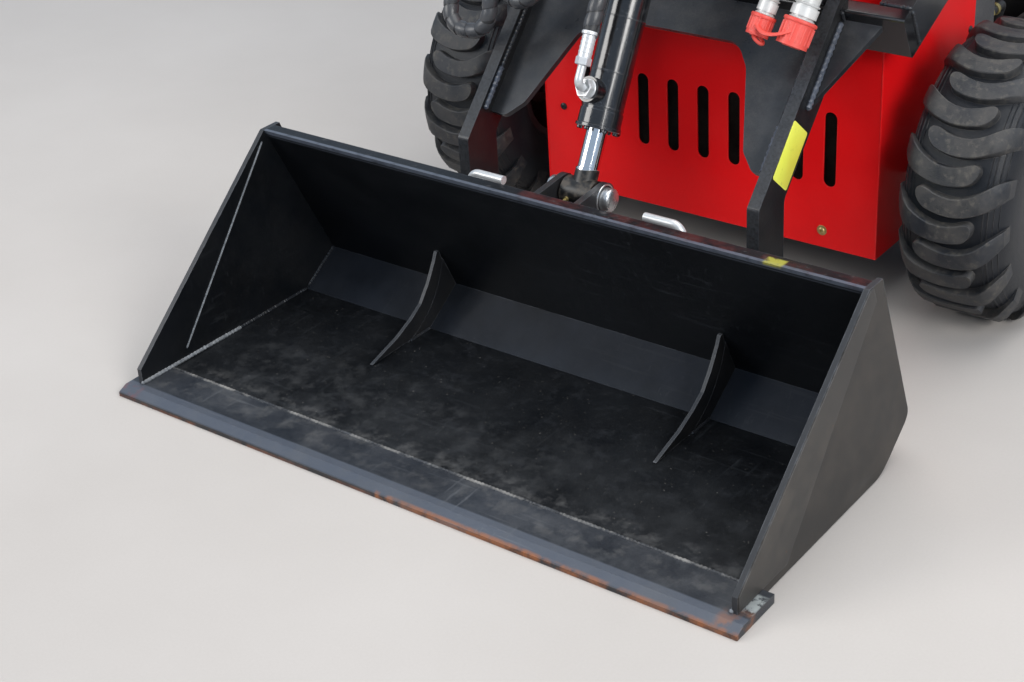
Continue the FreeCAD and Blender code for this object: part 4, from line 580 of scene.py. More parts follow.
# Dark red patches on the frame's front, and painted shade: deep black metal behind the cover's slots
frame_dark = finish("frame_dark", (0.006, 0.005, 0.0055), (0.016, 0.012, 0.013), 0.5, dust=0.25,
                    specular=0.3,
                    layers=[([box_zone((0, -0.3, 0.22), (0.32, 0.012, 0.2)), patchy(6.0, 0.4, 0.6)],
                             0.5, (0.05, 0.008, 0.008), 0.5),
                            # Painted shade: near-black metal behind the cover's slots, standing in for the
                            # shade inside them
                            ([box_zone((0, -0.298, 0.26), (0.275, 0.008, 0.08), 0.01)],
                             1.0, (0.0004, 0.0003, 0.0003), 0.9, 1.0)])
gloss_red = finish("gloss_red", (0.82, 0.004, 0.007), (0.92, 0.008, 0.01), 0.34, coat=0.12, dust=0.03,
                   edge=0.3, edge_colour=(0.75, 0.16, 0.14), wave=2.0, depth=0.03, scale=3.0,
                   specular=0.25,
                   layers=[([patchy(3.0, 0.55, 0.75)], 0.3, (0.95, 0.03, 0.03), 0.42),
                           ([patchy(150.0, 0.7, 0.75)], 0.4, (0.35, 0.02, 0.015), 0.6)])

# Bucket: its floor is worn towards the blade, its lip is rubbed and has a paint spot; a painted sky sheen
# lies on the sloping faces at the back of the floor, and painted highlights run along the lip's fold
FLOOR_PLACE, FLOOR_HALF = (0, -0.87, 0.01), (0.52, 0.165, 0.01)
LIP_PLACE, LIP_HALF = (0, -0.76, 0.317), (0.54, 0.02, 0.004)
bucket_black = finish(
    "bucket_black", (0.0022, 0.0026, 0.0033), (0.0065, 0.0078, 0.01), 0.36, coat=0.06, dust=0.08,
    scale=5.0, dust_colour=(0.12, 0.12, 0.12), edge=0.5, edge_colour=(0.12, 0.13, 0.15),
    scratch=0.25, scratch_colour=(0.05, 0.055, 0.062), wave=1.8, depth=0.05, specular=0.22,
    layers=[
        ([box_zone(FLOOR_PLACE, FLOOR_HALF, 0.03), patchy(6.0, 0.38, 0.66)],
         0.7, (0.013, 0.0148, 0.0175), 0.5),
        ([box_zone((0, -0.97, 0.01), (0.52, 0.07, 0.01), 0.06), patchy(14.0, 0.45, 0.75)],
         0.6, (0.026, 0.029, 0.033), 0.56),
        ([box_zone(FLOOR_PLACE, FLOOR_HALF, 0.01), patchy(44.0, 0.52, 0.78)],
         0.45, (0.034, 0.037, 0.043), 0.58),
        ([box_zone((-0.15, -0.96, 0.01), (0.3, 0.075, 0.01), 0.08), patchy(34.0, 0.5, 0.7)],
         0.45, (0.075, 0.077, 0.08), 0.6),
        ([box_zone((0, -1.015, 0.01), (0.52, 0.02, 0.01), 0.02), patchy(40.0, 0.48, 0.68)],
         0.5, (0.095, 0.094, 0.094), 0.62),
        ([box_zone(FLOOR_PLACE, FLOOR_HALF, 0.01), patchy(210.0, 0.66, 0.72)],
         0.8, (0.18, 0.17, 0.155), 0.7),
        # Painted sky sheen: bluish light on the faces that slope up towards the front at the back of the
        # floor
        ([look((0, -0.55, 0.835), 0.97, 0.99), box_zone((0, -0.6765, 0.034), (0.53, 0.05, 0.04)),
          patchy(4.0, 0.25, 0.6)], 0.8, (0.022, 0.0265, 0.036), 0.3),
        ([patchy(330.0, 0.71, 0.75), patchy(5.0, 0.4, 0.6)], 0.7, (0.16, 0.14, 0.11), 0.7),
        ([box_zone((0.25, -0.76, 0.317), (0.28, 0.02, 0.004), 0.006), patchy(22.0, 0.47, 0.6)],
         0.8, (0.06, 0.012, 0.011), 0.45),
        ([box_zone(LIP_PLACE, LIP_HALF), patchy(90.0, 0.6, 0.68)], 0.5, (0.1, 0.095, 0.095), 0.5),
        # Painted highlights: a bluish light strip along the lip's folded corner and a fainter band just
        # below it
        ([box_zone((0, -0.7655, 0.3145), (0.54, 0.0035, 0.005), 0.0015), patchy(60.0, 0.2, 0.5)],
         0.9, (0.1, 0.115, 0.145), 0.32),
        ([box_zone((0, -0.762, 0.306), (0.54, 0.008, 0.0012), 0.0012)], 0.8, (0.05, 0.056, 0.07), 0.32),
        ([box_zone((0.392, -0.761, 0.317), (0.014, 0.01, 0.004), 0.004), patchy(60.0, 0.4, 0.5)],
         0.85, (0.38, 0.35, 0.05), 0.6)])


def outer_flank(side):
    """Outer face of the bucket's left or right side."""
    return [look((side, 0, 0), 0.6, 0.8), box_zone((side * 0.533, -0.9, 0.16), (0.002, 0.3, 0.2))]


side_black = finish(
    "bucket_side_black", (0.0025, 0.003, 0.0038), (0.007, 0.0085, 0.011), 0.36, coat=0.06, dust=0.1,
    scale=5.0, dust_colour=(0.14, 0.13, 0.12), edge=0.7, edge_colour=(0.17, 0.18, 0.2),
    scratch=0.25, scratch_colour=(0.06, 0.065, 0.07), wave=1.6, depth=0.05, specular=0.22,
    layers=[([CUT], 0.9, (0.035, 0.037, 0.041), 0.42),
            *[(outer_flank(side), 0.9, (0.027, 0.0245, 0.023), 0.45) for side in SIDES],
            *[(outer_flank(side) + [patchy(8.0, 0.4, 0.7)], 0.75, (0.085, 0.074, 0.064), 0.7)
              for side in SIDES],
            ([box_zone((0.533, -0.908, 0.161), (0.002, 0.004, 0.006), 0.003), patchy(90.0, 0.4, 0.5)],
             0.9, (0.6, 0.6, 0.58), 0.6)])
# Ribs: the narrow faces of their plates carry a painted highlight in light grey
rib_black = finish("rib_black", (0.004, 0.0045, 0.0055), (0.012, 0.0135, 0.0165), 0.4, dust=0.15,
                   edge=0.7, edge_colour=(0.16, 0.17, 0.19), specular=0.3,
                   layers=[([CUT], 0.85, (0.045, 0.05, 0.058), 0.4)])

# Blade: rubbed bright behind its edge, with rust at its front and corners
blade_top = look((0, 0, 1), 0.5, 0.8)
blade_grey = finish(
    "blade_grey", (0.012, 0.0145, 0.0195), (0.036, 0.043, 0.056), 0.34, metal=0.25, dust=0.18,
    scale=7.0, dust_colour=(0.17, 0.16, 0.15), edge=0.5, edge_colour=(0.14, 0.12, 0.11), scratch=0.45,
    scratch_colour=(0.13, 0.14, 0.155), edge_radius=0.003, depth=0.06,
    layers=[([look((0, -1, 0), 0.5, 0.7)], 0.6, (0.02, 0.018, 0.018), 0.6),
            ([blade_top, box_zone((0, -1.105, 0.012), (0.552, 0.014, 0.006), 0.003)],
             0.78, (0.08, 0.093, 0.12), 0.32),
            ([blade_top, box_zone((0, -1.045, 0.012), (0.552, 0.03, 0.006), 0.03),
              patchy(36.0, 0.5, 0.66)], 0.55, (0.12, 0.117, 0.112), 0.6),
            ([blade_top, box_zone((0.54, -1.062, 0.012), (0.01, 0.02, 0.006), 0.004),
              patchy(70.0, 0.42, 0.5)], 0.9, (0.4, 0.43, 0.42), 0.45),
            ([box_zone((0.27, -1.12, 0.002), (0.3, 0.004, 0.007), 0.004), patchy(30.0, 0.38, 0.56)],
             0.9, (0.3, 0.1, 0.03), 0.65),
            ([box_zone((-0.3, -1.12, 0.0), (0.28, 0.003, 0.0045), 0.003), patchy(24.0, 0.44, 0.6)],
             0.75, (0.22, 0.07, 0.025), 0.65),
            ([box_zone((0.535, -1.1, 0.006), (0.02, 0.02, 0.01), 0.012), patchy(40.0, 0.44, 0.6)],
             0.7, (0.28, 0.1, 0.035), 0.6),
            ([box_zone((-0.535, -1.112, 0.006), (0.02, 0.012, 0.01), 0.01), patchy(40.0, 0.46, 0.62)],
             0.6, (0.2, 0.035, 0.025), 0.6),
            ([box_zone((0, -1.06, 0.006), (0.552, 0.07, 0.02), 0.01), patchy(12.0, 0.5, 0.66)],
             0.4, (0.07, 0.075, 0.083), 0.5)])


# Rods, whose eyes are painted black, and plated parts
def plated_rod(name, eye_layers):
    """Bright chrome with layers for the rod's painted eye."""
    return finish(name, (0.72, 0.74, 0.77), (0.86, 0.87, 0.89), 0.1, metal=1.0, grain=300.0, depth=0.004,
                  layers=eye_layers)


def eye_paint(centre):
    """Black paint on a rod's eye."""
    return [(ROUND, {"Centre": centre, "Radius": 0.0375})], 1.0, (0.008, 0.0085, 0.009), 0.38


tilt_eye = eye_paint(ROD_EYE)
chrome = plated_rod("hard_chrome", [tilt_eye, (tilt_eye[0] + [patchy(60.0, 0.46, 0.6)], 0.75,
                                               (0.09, 0.075, 0.06), 0.6)])
lift_chrome = plated_rod("lift_rod_chrome", [eye_paint(LIFT_EYE)])
zinc = finish("bright_zinc", (0.55, 0.56, 0.57), (0.75, 0.755, 0.76), 0.27, metal=0.9, dust=0.1,
              edge=0.3, edge_colour=(0.88, 0.88, 0.88), grain=500.0, depth=0.02)
white_zinc = finish("white_zinc", (0.58, 0.6, 0.61), (0.78, 0.79, 0.8), 0.36, metal=0.45, dust=0.12,
                    edge=0.3, edge_colour=(0.9, 0.9, 0.9), grain=500.0, depth=0.02)
yellow_zinc = finish("yellow_zinc", (0.45, 0.36, 0.14), (0.62, 0.5, 0.22), 0.36, metal=0.8, dust=0.2,
                     grain=500.0, depth=0.02)

# Wheels
tyre_rubber = finish("tyre_rubber", (0.003, 0.0042, 0.007), (0.009, 0.012, 0.0175), 0.42, dust=0.12,
                     dust_scale=24.0, dust_colour=(0.14, 0.13, 0.12), edge=0.5,
                     edge_colour=(0.1, 0.095, 0.09), grain=700.0, depth=0.12, specular=0.4,
                     layers=[([patchy(16.0, 0.55, 0.75)], 0.35, (0.045, 0.043, 0.042), 0.65)])
lug_rubber = finish("lug_rubber", (0.009, 0.0115, 0.016), (0.023, 0.027, 0.035), 0.46, dust=0.16,
                    dust_scale=24.0, dust_colour=(0.16, 0.15, 0.14), edge=0.7,
                    edge_colour=(0.13, 0.12, 0.11), grain=700.0, depth=0.14, specular=0.4,
                    layers=[([patchy(22.0, 0.38, 0.64)], 0.7, (0.078, 0.073, 0.068), 0.7),
                            ([patchy(85.0, 0.53, 0.66)], 0.4, (0.16, 0.145, 0.12), 0.85)])
rim_grey = finish("rim_paint", (0.04, 0.04, 0.043), (0.08, 0.08, 0.085), 0.42, coat=0.1, dust=0.4,
                  edge=0.5)

# Engine bay, hoses and welds
cast_iron = finish("cast_housing", (0.05, 0.05, 0.054), (0.12, 0.12, 0.125), 0.55, metal=0.3, dust=0.3,
                   grain=260.0, depth=0.2)
engine_paint = finish("engine_paint", (0.02, 0.021, 0.023), (0.05, 0.052, 0.056), 0.45, dust=0.35,
                      edge=0.5, grain=300.0, depth=0.12)
alloy = finish("cast_alloy", (0.28, 0.285, 0.29), (0.42, 0.425, 0.43), 0.5, metal=0.7, dust=0.3,
               edge=0.4, grain=300.0, depth=0.15)
black_plastic = finish("moulded_black", (0.009, 0.009, 0.01), (0.022, 0.022, 0.024), 0.48, dust=0.15,
                       grain=1200.0, depth=0.08, specular=0.4)
exhaust_steel = finish("heat_tinted_steel", (0.2, 0.16, 0.13), (0.38, 0.34, 0.3), 0.42, metal=0.85,
                       dust=0.15, scale=16.0)
hose_rubber = finish("hose_rubber", (0.012, 0.013, 0.015), (0.03, 0.032, 0.036), 0.42, dust=0.2,
                     grain=900.0, depth=0.06, specular=0.45)
wrap_plastic = finish("spiral_guard", (0.02, 0.022, 0.026), (0.06, 0.064, 0.072), 0.27, dust=0.22,
                      grain=700.0, depth=0.05, edge=0.5, edge_colour=(0.16, 0.165, 0.18),
                      edge_radius=0.001)


def weld(name, dark, light, rough, scale, **more):
    """Finish of a weld bead."""
    return finish(name, dark, light, rough, scale=scale, grain=400.0, depth=0.1, **more)


# Black-painted welds of the legs; their light bluish colour is a painted sky sheen
weld_sky_sheen = weld("weld_painted_sky_sheen", (0.03, 0.036, 0.05), (0.11, 0.125, 0.16), 0.3, 60.0, coat=0.3, dust=0.1)
weld_bare = weld("bare_weld", (0.1, 0.11, 0.125), (0.34, 0.36, 0.38), 0.42, 80.0, metal=0.3, dust=0.2)
weld_worn = weld("worn_weld", (0.012, 0.0135, 0.017), (0.05, 0.055, 0.063), 0.42, 40.0, dust=0.1,
                 layers=[([patchy(24.0, 0.46, 0.62)], 0.85, (0.26, 0.25, 0.235), 0.55)])
strip_grey = finish("side_strip_grey", (0.021, 0.0198, 0.019), (0.05, 0.046, 0.042), 0.42, dust=0.15,
                    scale=8.0, dust_colour=(0.14, 0.13, 0.12), edge=0.7, edge_colour=(0.16, 0.16, 0.17),
                    scratch=0.3, scratch_colour=(0.1, 0.1, 0.1), specular=0.35,
                    layers=[([patchy(14.0, 0.5, 0.72)], 0.5, (0.11, 0.095, 0.08), 0.7),
                            ([patchy(60.0, 0.68, 0.73)], 0.6, (0.3, 0.14, 0.05), 0.7)])
weld_dark = weld("black_weld", (0.006, 0.007, 0.009), (0.03, 0.034, 0.042), 0.3, 60.0, coat=0.3, dust=0.1)

# Couplers, coloured lines, sticker, lamps and the operator's station
coupler_white = finish("coupler_white", (0.6, 0.6, 0.58), (0.8, 0.8, 0.78), 0.35, metal=0.2, dust=0.15,
                       edge=0.5, edge_colour=(0.3, 0.29, 0.28), grain=500.0, depth=0.03)
cap_red = finish("soft_red_cap", (0.68, 0.06, 0.045), (0.85, 0.1, 0.075), 0.38, dust=0.06, grain=900.0,
                 depth=0.06, edge=0.3, edge_colour=(0.95, 0.3, 0.26), scale=20.0)
line_red = finish("red_line", (0.4, 0.01, 0.01), (0.6, 0.02, 0.02), 0.35, dust=0.1)
line_green = finish("green_tag", (0.01, 0.16, 0.05), (0.02, 0.3, 0.09), 0.4, dust=0.1)
sticker_yellow = finish("blank_sticker", (0.9, 0.92, 0.1), (0.95, 0.97, 0.14), 0.32, coat=0.2,
                        dust=0.08, scale=30.0, edge=0.6, edge_colour=(0.5, 0.5, 0.2),
                        edge_radius=0.0012, grain=300.0, depth=0.03,
                        layers=[([patchy(70.0, 0.6, 0.7)], 0.35, (0.4, 0.38, 0.1), 0.5)])
lamp_glass = finish("lamp_lens", (0.5, 0.52, 0.54), (0.66, 0.68, 0.7), 0.08, coat=1.0, scale=60.0,
                    grain=120.0, depth=0.4)
gauge_face = finish("gauge_face", (0.01, 0.01, 0.011), (0.02, 0.02, 0.022), 0.3, coat=0.8)
pad_vinyl = finish("pad_vinyl", (0.01, 0.01, 0.011), (0.024, 0.024, 0.026), 0.42, dust=0.12,
                   grain=380.0, depth=0.3, scale=14.0, edge=0.3, edge_colour=(0.05, 0.05, 0.052))
foam_grip = finish("foam_grip", (0.008, 0.008, 0.009), (0.02, 0.02, 0.022), 0.75, dust=0.15,
                   grain=1100.0, depth=0.35)

# What each CAD node wears
DRESS = {
    gloss_black: "cross_tube grab_bar tilt_barrel lift_barrel_left lift_barrel_right",
    satin_black: "booms tool_carrier towers footplate step_hinge hood_hinge hose_brackets",
    leg_black: "arm_legs",
    plate_black: "cross_plate",
    frame_dark: "frame",
    gloss_red: "front_cover hood console",
    bucket_black: "bucket_shell",
    side_black: "bucket_sides",
    rib_black: "bucket_ribs",
    blade_grey: "cutting_edge",
    chrome: "tilt_rod",
    lift_chrome: "lift_rod_left lift_rod_right",
    zinc: "rod_eye_pin tool_pins tilt_base_pin boom_lug_pins",
    white_zinc: "tilt_fittings lever_handles",
    cast_iron: "axle_front axle_rear hydraulic_pump valve_block",
    engine_paint: "engine_block",
    alloy: "engine_heads",
    black_plastic: "flywheel_shroud air_filter fuel_tank control_levers work_lamps knee_pad",
    exhaust_steel: "muffler",
    hose_rubber: "arm_hoses tilt_hoses",
    coupler_white: "couplers",
    cap_red: "coupler_caps",
    tyre_rubber: " ".join("tyre_" + name for name in WHEELS),
    rim_grey: " ".join("rim_" + name for name in WHEELS),
}
for worn, names in DRESS.items():
    for name in names.split():
        node = nodes[name]
        if not node.material_slots:
            node.data.materials.append(worn)
        for place in node.material_slots:
            place.material = worn


# Tyres with curved lugs; carcass rows are (distance from the middle, radius)
TYRE_STEPS = 128
LUG_COUNT = 32
LUG_SHIFT = 0.34
LUG_OUTER = 0.0835
LUG_REACH = 0.1285
LUG_HALF = 0.0142
LUG_TOP = 0.2284
LUG_KINK = 0.6
CARCASS = [(0.069, 0.1045), (0.074, 0.1115), (0.0795, 0.1165), (0.0805, 0.124), (0.0835, 0.135),
           (0.085, 0.15), (0.0848, 0.166), (0.083, 0.178), (0.0805, 0.187), (0.077, 0.195),
           (0.0715, 0.2025), (0.064, 0.2085), (0.053, 0.2125), (0.04, 0.2145), (0.02, 0.2153),
           (0.0, 0.2155)]
RIB_PLACES = (0.0755, 0.0695, 0.0625, 0.056)
LUG_STEPS = (0, 0.05, 0.1, 0.16, 0.23, 0.31, 0.4, 0.5, 0.6, 0.7, 0.79, 0.86, 0.895, 0.925, 0.95, 0.972,
             0.99, 1.0)


def carcass_radius(x):
    """Height of the tread under a lug at a distance from the middle."""
    x = abs(x)
    rows = [row for row in CARCASS if row[1] > 0.17]
    for outer, inner in zip(rows, rows[1:]):
        if inner[0] <= x <= outer[0]:
            share = (x - inner[0]) / max(outer[0] - inner[0], 1e-6)
            return inner[1] + (outer[1] - inner[1]) * share
    return rows[0][1]


def tyre_profile():
    """Half section of the tyre with fine ribs round its shoulder."""
    rows = list(CARCASS)
    for place in RIB_PLACES:
        for shift, rise in ((0.0009, 0.0), (0.0, 0.0015), (-0.0009, 0.0)):
            rows.append((place + shift, carcass_radius(place + shift) + rise))
    low = [row for row in rows if row[1] <= 0.187]
    high = sorted((row for row in rows if row[1] > 0.187), reverse=True)
    return low + high


def lug_rings(side, centre_angle):
    """Cross sections of one lug from its shoulder, round its curve, to its rounded inner end."""
    rings = []
    for t in LUG_STEPS:
        x = side * (LUG_OUTER - LUG_REACH * t)
        if t < LUG_KINK:
            lean, steep, run = 0.042, (LUG_KINK - t) / LUG_KINK, 0.077
        else:
            lean, steep, run = 0.016, (t - LUG_KINK) / 0.4, 0.051
        half = LUG_HALF * math.sqrt(1 + min(1.0, (lean * 2 * steep / run) ** 2))
        lean *= steep ** 2
        if t < 0.12:
            half *= 0.75 + 0.25 * (t / 0.12)
        if t > 0.86:
            half *= math.sqrt(max(0.0, 1 - ((t - 0.86) / 0.14) ** 2))
        half = max(half, 0.0008)
        floor = carcass_radius(x) - 0.003
        over_edge = max(0.0, abs(x) - 0.052) / 0.032
        top = max(LUG_TOP - 0.0335 * over_edge ** 1.9, floor + 0.004)
        ring = []
        for across, height in ((-1.13, floor), (-1.0, top - 0.0016), (-0.9, top - 0.0002),
                               (0.0, top + 0.0001),
                               (0.9, top - 0.0002), (1.0, top - 0.0016), (1.13, floor)):
            angle = centre_angle + (lean + across * half) / WHEEL_RADIUS
            ring.append(Vector((x, -height * math.cos(angle), height * math.sin(angle))))
        rings.append(ring)
    return rings


def make_tyre(name, side, station):
    """Tyre with its lugs, which wear a dusty rubber of their own."""
    shape = Shape()
    half = tyre_profile()
    rows = half + [(-x, r) for x, r in reversed(half[:-1])]
    centre = at(side * WHEEL_X, station, WHEEL_RADIUS)
    rings = [[centre + Vector((x, -r * math.cos(a), r * math.sin(a))) for x, r in rows]
             for a in turns(TYRE_STEPS)]
    rings.append([v.copy() for v in rings[0]])
    shape.rings(rings, caps=False)
    plain = len(shape.faces)
    pitch = 2 * math.pi / LUG_COUNT
    for k in range(LUG_COUNT):
        hand = side if k % 2 else -side
        shape.rings([[centre + v for v in ring] for ring in lug_rings(hand, pitch * (k - LUG_SHIFT))])
    piece = shape.made("detailed_tyre_" + name, tyre_rubber, "wheel_" + name, "tyre_rubber")
    piece.data.materials.append(lug_rubber)
    for face in piece.data.polygons:
        face.material_index = int(face.index >= plain)
    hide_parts("tyre_" + name)


NUTS = 5
NUT_CIRCLE = 0.07


def make_wheel_trim(name, side, station):
    """Wheel nuts, dust cap, bead ring and valve of one wheel."""
    way = X * side
    face = at(side * (WHEEL_X + 0.02), station, WHEEL_RADIUS)
    nuts, trim = Shape(), Shape()
    for a in turns(NUTS, 0.5):
        spot = face + (Y * math.cos(a) + Z * math.sin(a)) * NUT_CIRCLE
        lathe(nuts, [(0, 0.0145), (0.003, 0.0135), (0.0035, 0.0115)], spot, way, 20)
        lathe(nuts, [(0.003, 0.0105), (0.015, 0.0105), (0.017, 0.0085)], spot, way, 6, a)
        lathe(nuts, [(0.016, 0.006), (0.021, 0.006), (0.022, 0.005)], spot, way, 12)
    lathe(nuts, [(0.01, 0.03), (0.016, 0.03), (0.019, 0.027), (0.0205, 0.02), (0.021, 0.0)], face, way, 32)
    for radius, place in ((0.109, 0.0125), (0.094, -0.02)):
        hoop(trim, face + way * (place + 0.04), way, radius, 0.0032, 72, 8)
    stem = face + (Y * 0.6 + Z * 0.8) * 0.088
    valve = [(0, 0.0045), (0.004, 0.0045), (0.005, 0.003), (0.02, 0.003), (0.021, 0.0042), (0.03, 0.0042),
             (0.031, 0.0035)]
    lathe(nuts, valve, stem, way, 12)
    nuts.made("wheel_nuts_" + name, zinc, "wheel_" + name, "zinc")
    trim.made("bead_rings_" + name, rim_grey, "wheel_" + name, "rim_paint")


for name, (side, station) in WHEELS.items():
    make_tyre(name, side, station)
    make_wheel_trim(name, side, station)


# Bucket; outlines are pairs of station and height
SIDE_INNER = 0.5245
SIDE_OUTER = 0.5329
RIB_X = 0.261
RIB_THICK = 0.0056
SIDE_STRIP = [(0.031, 0.0155), (0.149, 0.0155), (0.3715, 0.2925), (0.362, 0.315), (0.3515, 0.315),
              (0.031, 0.039)]
RIB_TOE = [(0.2615, 0.0125), (0.404, 0.0125), (0.44, 0.034), (0.458, 0.08), (0.4405, 0.1335),
           (0.4345, 0.1335), (0.4285, 0.1205), (0.42, 0.106), (0.408, 0.087), (0.3875, 0.062),
           (0.36, 0.0455), (0.3253, 0.0305), (0.293, 0.0215)]


def make_bucket_trim():
    """Seams of the bucket, the strips on its sides and the toes of its ribs."""
    bare, dark = Shape(), Shape()
    for side in SIDES:
        skin = side * SIDE_INNER
        bead(bare, at(skin, 0.3438, 0.3003), at(skin, 0.125, 0.0312), 0.0032, 3)
        bead(bare, at(skin, 0.0262, 0.0165), at(skin, 0.2439, 0.013), 0.0062, 4)
        bead(dark, at(skin, 0.2439, 0.013), at(skin, 0.402, 0.0125), 0.005, 5)
        bead(dark, at(skin, 0.404, 0.014), at(skin, 0.476, 0.06), 0.005, 6)
        bead(dark, at(skin, 0.476, 0.066), at(skin, 0.36, 0.308), 0.005, 7)
        for flank in (-0.004, 0.004):
            x = side * RIB_X + flank
            bead(dark, at(x, 0.352, 0.0125), at(x, 0.402, 0.0125), 0.005, 8)
    seam = Shape()
    bead(seam, at(-0.522, 0.0895, 0.0132), at(0.522, 0.0895, 0.0132), 0.0056, 9)
    seam.made("blade_seam", weld_worn, "bucket", "blade_steel")
    bare.made("bucket_seams", weld_bare, "bucket", "blade_steel")
    dark.made("bucket_inner_welds", weld_dark, "bucket", "bucket_paint")
    strips, toes = Shape(), Shape()
    for side in SIDES:
        strip = [(side * station, z) for station, z in SIDE_STRIP]
        slab(strips, strip, at(side * SIDE_OUTER, 0, 0), Y * side, Z, 0.0014, 0.99)
        slab(toes, RIB_TOE, at(side * RIB_X - RIB_THICK / 2, 0, 0), Y, Z, RIB_THICK, 1.0)
    strips.made("side_front_strips", strip_grey, "bucket", "bucket_paint", smooth=False)
    toes.made("rib_toes", rib_black, "bucket", "bucket_paint", smooth=False)


# Lift arm
LEG_FLANK = 0.2745
LEG_INNER = 0.2495
BOOM_X = 0.347


def make_arm_trim():
    """Welds and bolts of the lift arm."""
    bright, dark = Shape(), Shape()
    for side in SIDES:
        flank, inner = side * LEG_FLANK, side * LEG_INNER
        bead(bright, at(flank, 0.7516, 0.5013), at(flank, 0.656, 0.3997), 0.0085, 11)
        bead(bright, at(inner, 0.6202, 0.3837), at(inner, 0.5703, 0.3287), 0.0085, 12)
        bead(dark, at(inner, 0.755, 0.5265), at(inner, 0.6202, 0.3837), 0.006, 13)
        bead(dark, at(flank, 0.7515, 0.5175), at(flank, 0.784, 0.452), 0.006, 14)
        bead(dark, at(side * 0.322, 0.7745, 0.5305), at(side * 0.372, 0.7745, 0.5305), 0.006, 15)
        for x in (0.3215, 0.3725):
            bead(dark, at(side * x, 0.776, 0.526), at(side * x, 0.806, 0.466), 0.005, 16)
    bright.made("leg_welds", weld_sky_sheen, "lift_arm", "black_paint")
    dark.made("arm_welds", weld_dark, "lift_arm", "black_paint")
    bolts = Shape()
    for side in SIDES:
        for run in (0.712, 0.748):
            bolt(bolts, on_boom(run, 0.04, side * BOOM_X), BOOM_TOP, 0.0055, 0.007)
        bolt(bolts, at(side * 0.0545, 0.7199, 0.7268), X * side, 0.009, 0.008, 0.2)
        bolt(bolts, at(side * 0.298, 0.56, 0.14), X * side, 0.008, 0.007, 0.1)
    bolts.made("arm_bolts", zinc, "lift_arm", "zinc")


def make_sticker():
    """Blank yellow sticker on the outer face of the left leg."""
    label = Shape()
    up = Vector((0, 0.6649, 0.7469))
    across = Vector((0, 0.7469, -0.6649))
    slab(label, rounded(0.052, 0.091, 0.004), at(0.272, 0.6118, 0.3453), across, up, 0.0007, 0.99)
    label.made("blank_sticker", sticker_yellow, "lift_arm")


# Ports of the tilt cylinder: way from its base pin, turn from its side to its front, reach to the hose
TILT_PORTS = ((0.361, 84, 0.07), (0.058, 46, 0.084))


def port_way(turn):
    """Way in which a port points, across the cylinder and to its front."""
    return Vector((-math.cos(math.radians(turn)), math.sin(math.radians(turn))))


def make_ram_trim():
    """End flanges, weld rings, bolts and grease nipple of the tilt and lift cylinders."""
    black, metal = Shape(), Shape()
    gland = [(0.0965, 0.0172), (0.0965, 0.0325), (0.0975, 0.0345), (0.1015, 0.0345), (0.1025, 0.033)]
    lathe(black, gland, ROD_EYE, RAM_UP, 48)
    for t in (0.1295, 0.182, 0.262, 0.455):
        hoop(black, ROD_EYE + RAM_UP * t, RAM_UP, 0.0311, 0.0008, 48, 6, 0.0014)
    side, other = square_to(RAM_UP)
    for a in turns(6, 0.45):
        spot = ROD_EYE + RAM_UP * 0.0968 + side * (0.027 * math.cos(a)) + other * (0.027 * math.sin(a))
        lathe(black, [(0, 0.0045), (0.0035, 0.0045), (0.0048, 0.0032)], spot, -RAM_UP, 12)
    black.made("tilt_barrel_flange", gloss_black, "tilt_barrel", "black_paint")
    port_nut = [(0.0455, 0.0125), (0.047, 0.0145), (0.0555, 0.0145), (0.057, 0.0125)]
    hose_nut = [(0.03, 0.0098), (0.031, 0.0118), (0.041, 0.0118), (0.042, 0.0105)]
    ferrule_end = [(0.074, 0.0104), (0.0755, 0.0124), (0.0785, 0.0124), (0.08, 0.0112)]
    for z, turn, reach in TILT_PORTS:
        flat = port_way(turn)
        way = Vector((flat.x, 0, 0)) + RAM_FRONT * flat.y
        port = on_ram(0, 0, z)
        hoop(metal, port + way * 0.0452, way, 0.0135, 0.0016, 32, 6)
        lathe(metal, port_nut, port, way, 6, 0.2)
        foot = port + way * reach
        lathe(metal, hose_nut, foot, RAM_UP, 6, 0.5)
        for t in (0.049, 0.056, 0.063, 0.07):
            hoop(metal, foot + RAM_UP * t, RAM_UP, 0.0101, 0.0006, 28, 6, 0.0012)
        lathe(metal, ferrule_end, foot, RAM_UP, 28)
    metal.made("tilt_hose_nuts", white_zinc, "tilt_barrel", "zinc")
    nipples = Shape()
    lathe(nipples, [(0.022, 0.004), (0.0255, 0.004), (0.026, 0.0025), (0.03, 0.003), (0.0315, 0.0015)],
          ROD_EYE + X * -0.012, -RAM_UP + RAM_FRONT * 1.4, 12)
    nipples.made("rod_eye_nipple", yellow_zinc, "tilt_rod", "zinc")
    heads = Shape()
    dome = [(0, 0.0175), (0.0032, 0.0172), (0.005, 0.0155), (0.0065, 0.0115), (0.0072, 0.006),
            (0.0073, 0.0)]
    for side_x in SIDES:
        lathe(heads, dome, ROD_EYE + X * (0.0502 * side_x), X * side_x, 40)
        hoop(heads, ROD_EYE + X * (0.0412 * side_x), X, 0.0212, 0.0014, 44, 8)
    heads.made("rod_eye_pin_heads", zinc, "bucket", "zinc")
    lift_gland = [(0.0945, 0.0135), (0.0945, 0.0235), (0.0955, 0.025), (0.0995, 0.025), (0.1005, 0.024)]
    up = (LIFT_BASE - LIFT_EYE).normalized()
    for word, side_x in (("left", 1), ("right", -1)):
        shape = Shape()
        start = LIFT_EYE + X * (0.345 * side_x)
        lathe(shape, lift_gland, start, up, 40)
        for t in (0.125, 0.5):
            hoop(shape, start + up * t, up, 0.0222, 0.0007, 40, 6, 0.0012)
        shape.made("lift_barrel_flange_" + word, gloss_black, "lift_barrel_" + word, "black_paint")


# Hoses: where the guards lie on them, and the strip they are wound from
HOSE_SKIN = 0.0109
GUARD_PITCH = 0.021
GUARD_WIDTH = 0.0188
GUARD_THICK = 0.002
FERRULE_END = 0.08


def wrap_hose(shape, path):
    """Spiral guard round a hose."""
    wind(shape, path, HOSE_SKIN, GUARD_PITCH, GUARD_WIDTH, GUARD_THICK)


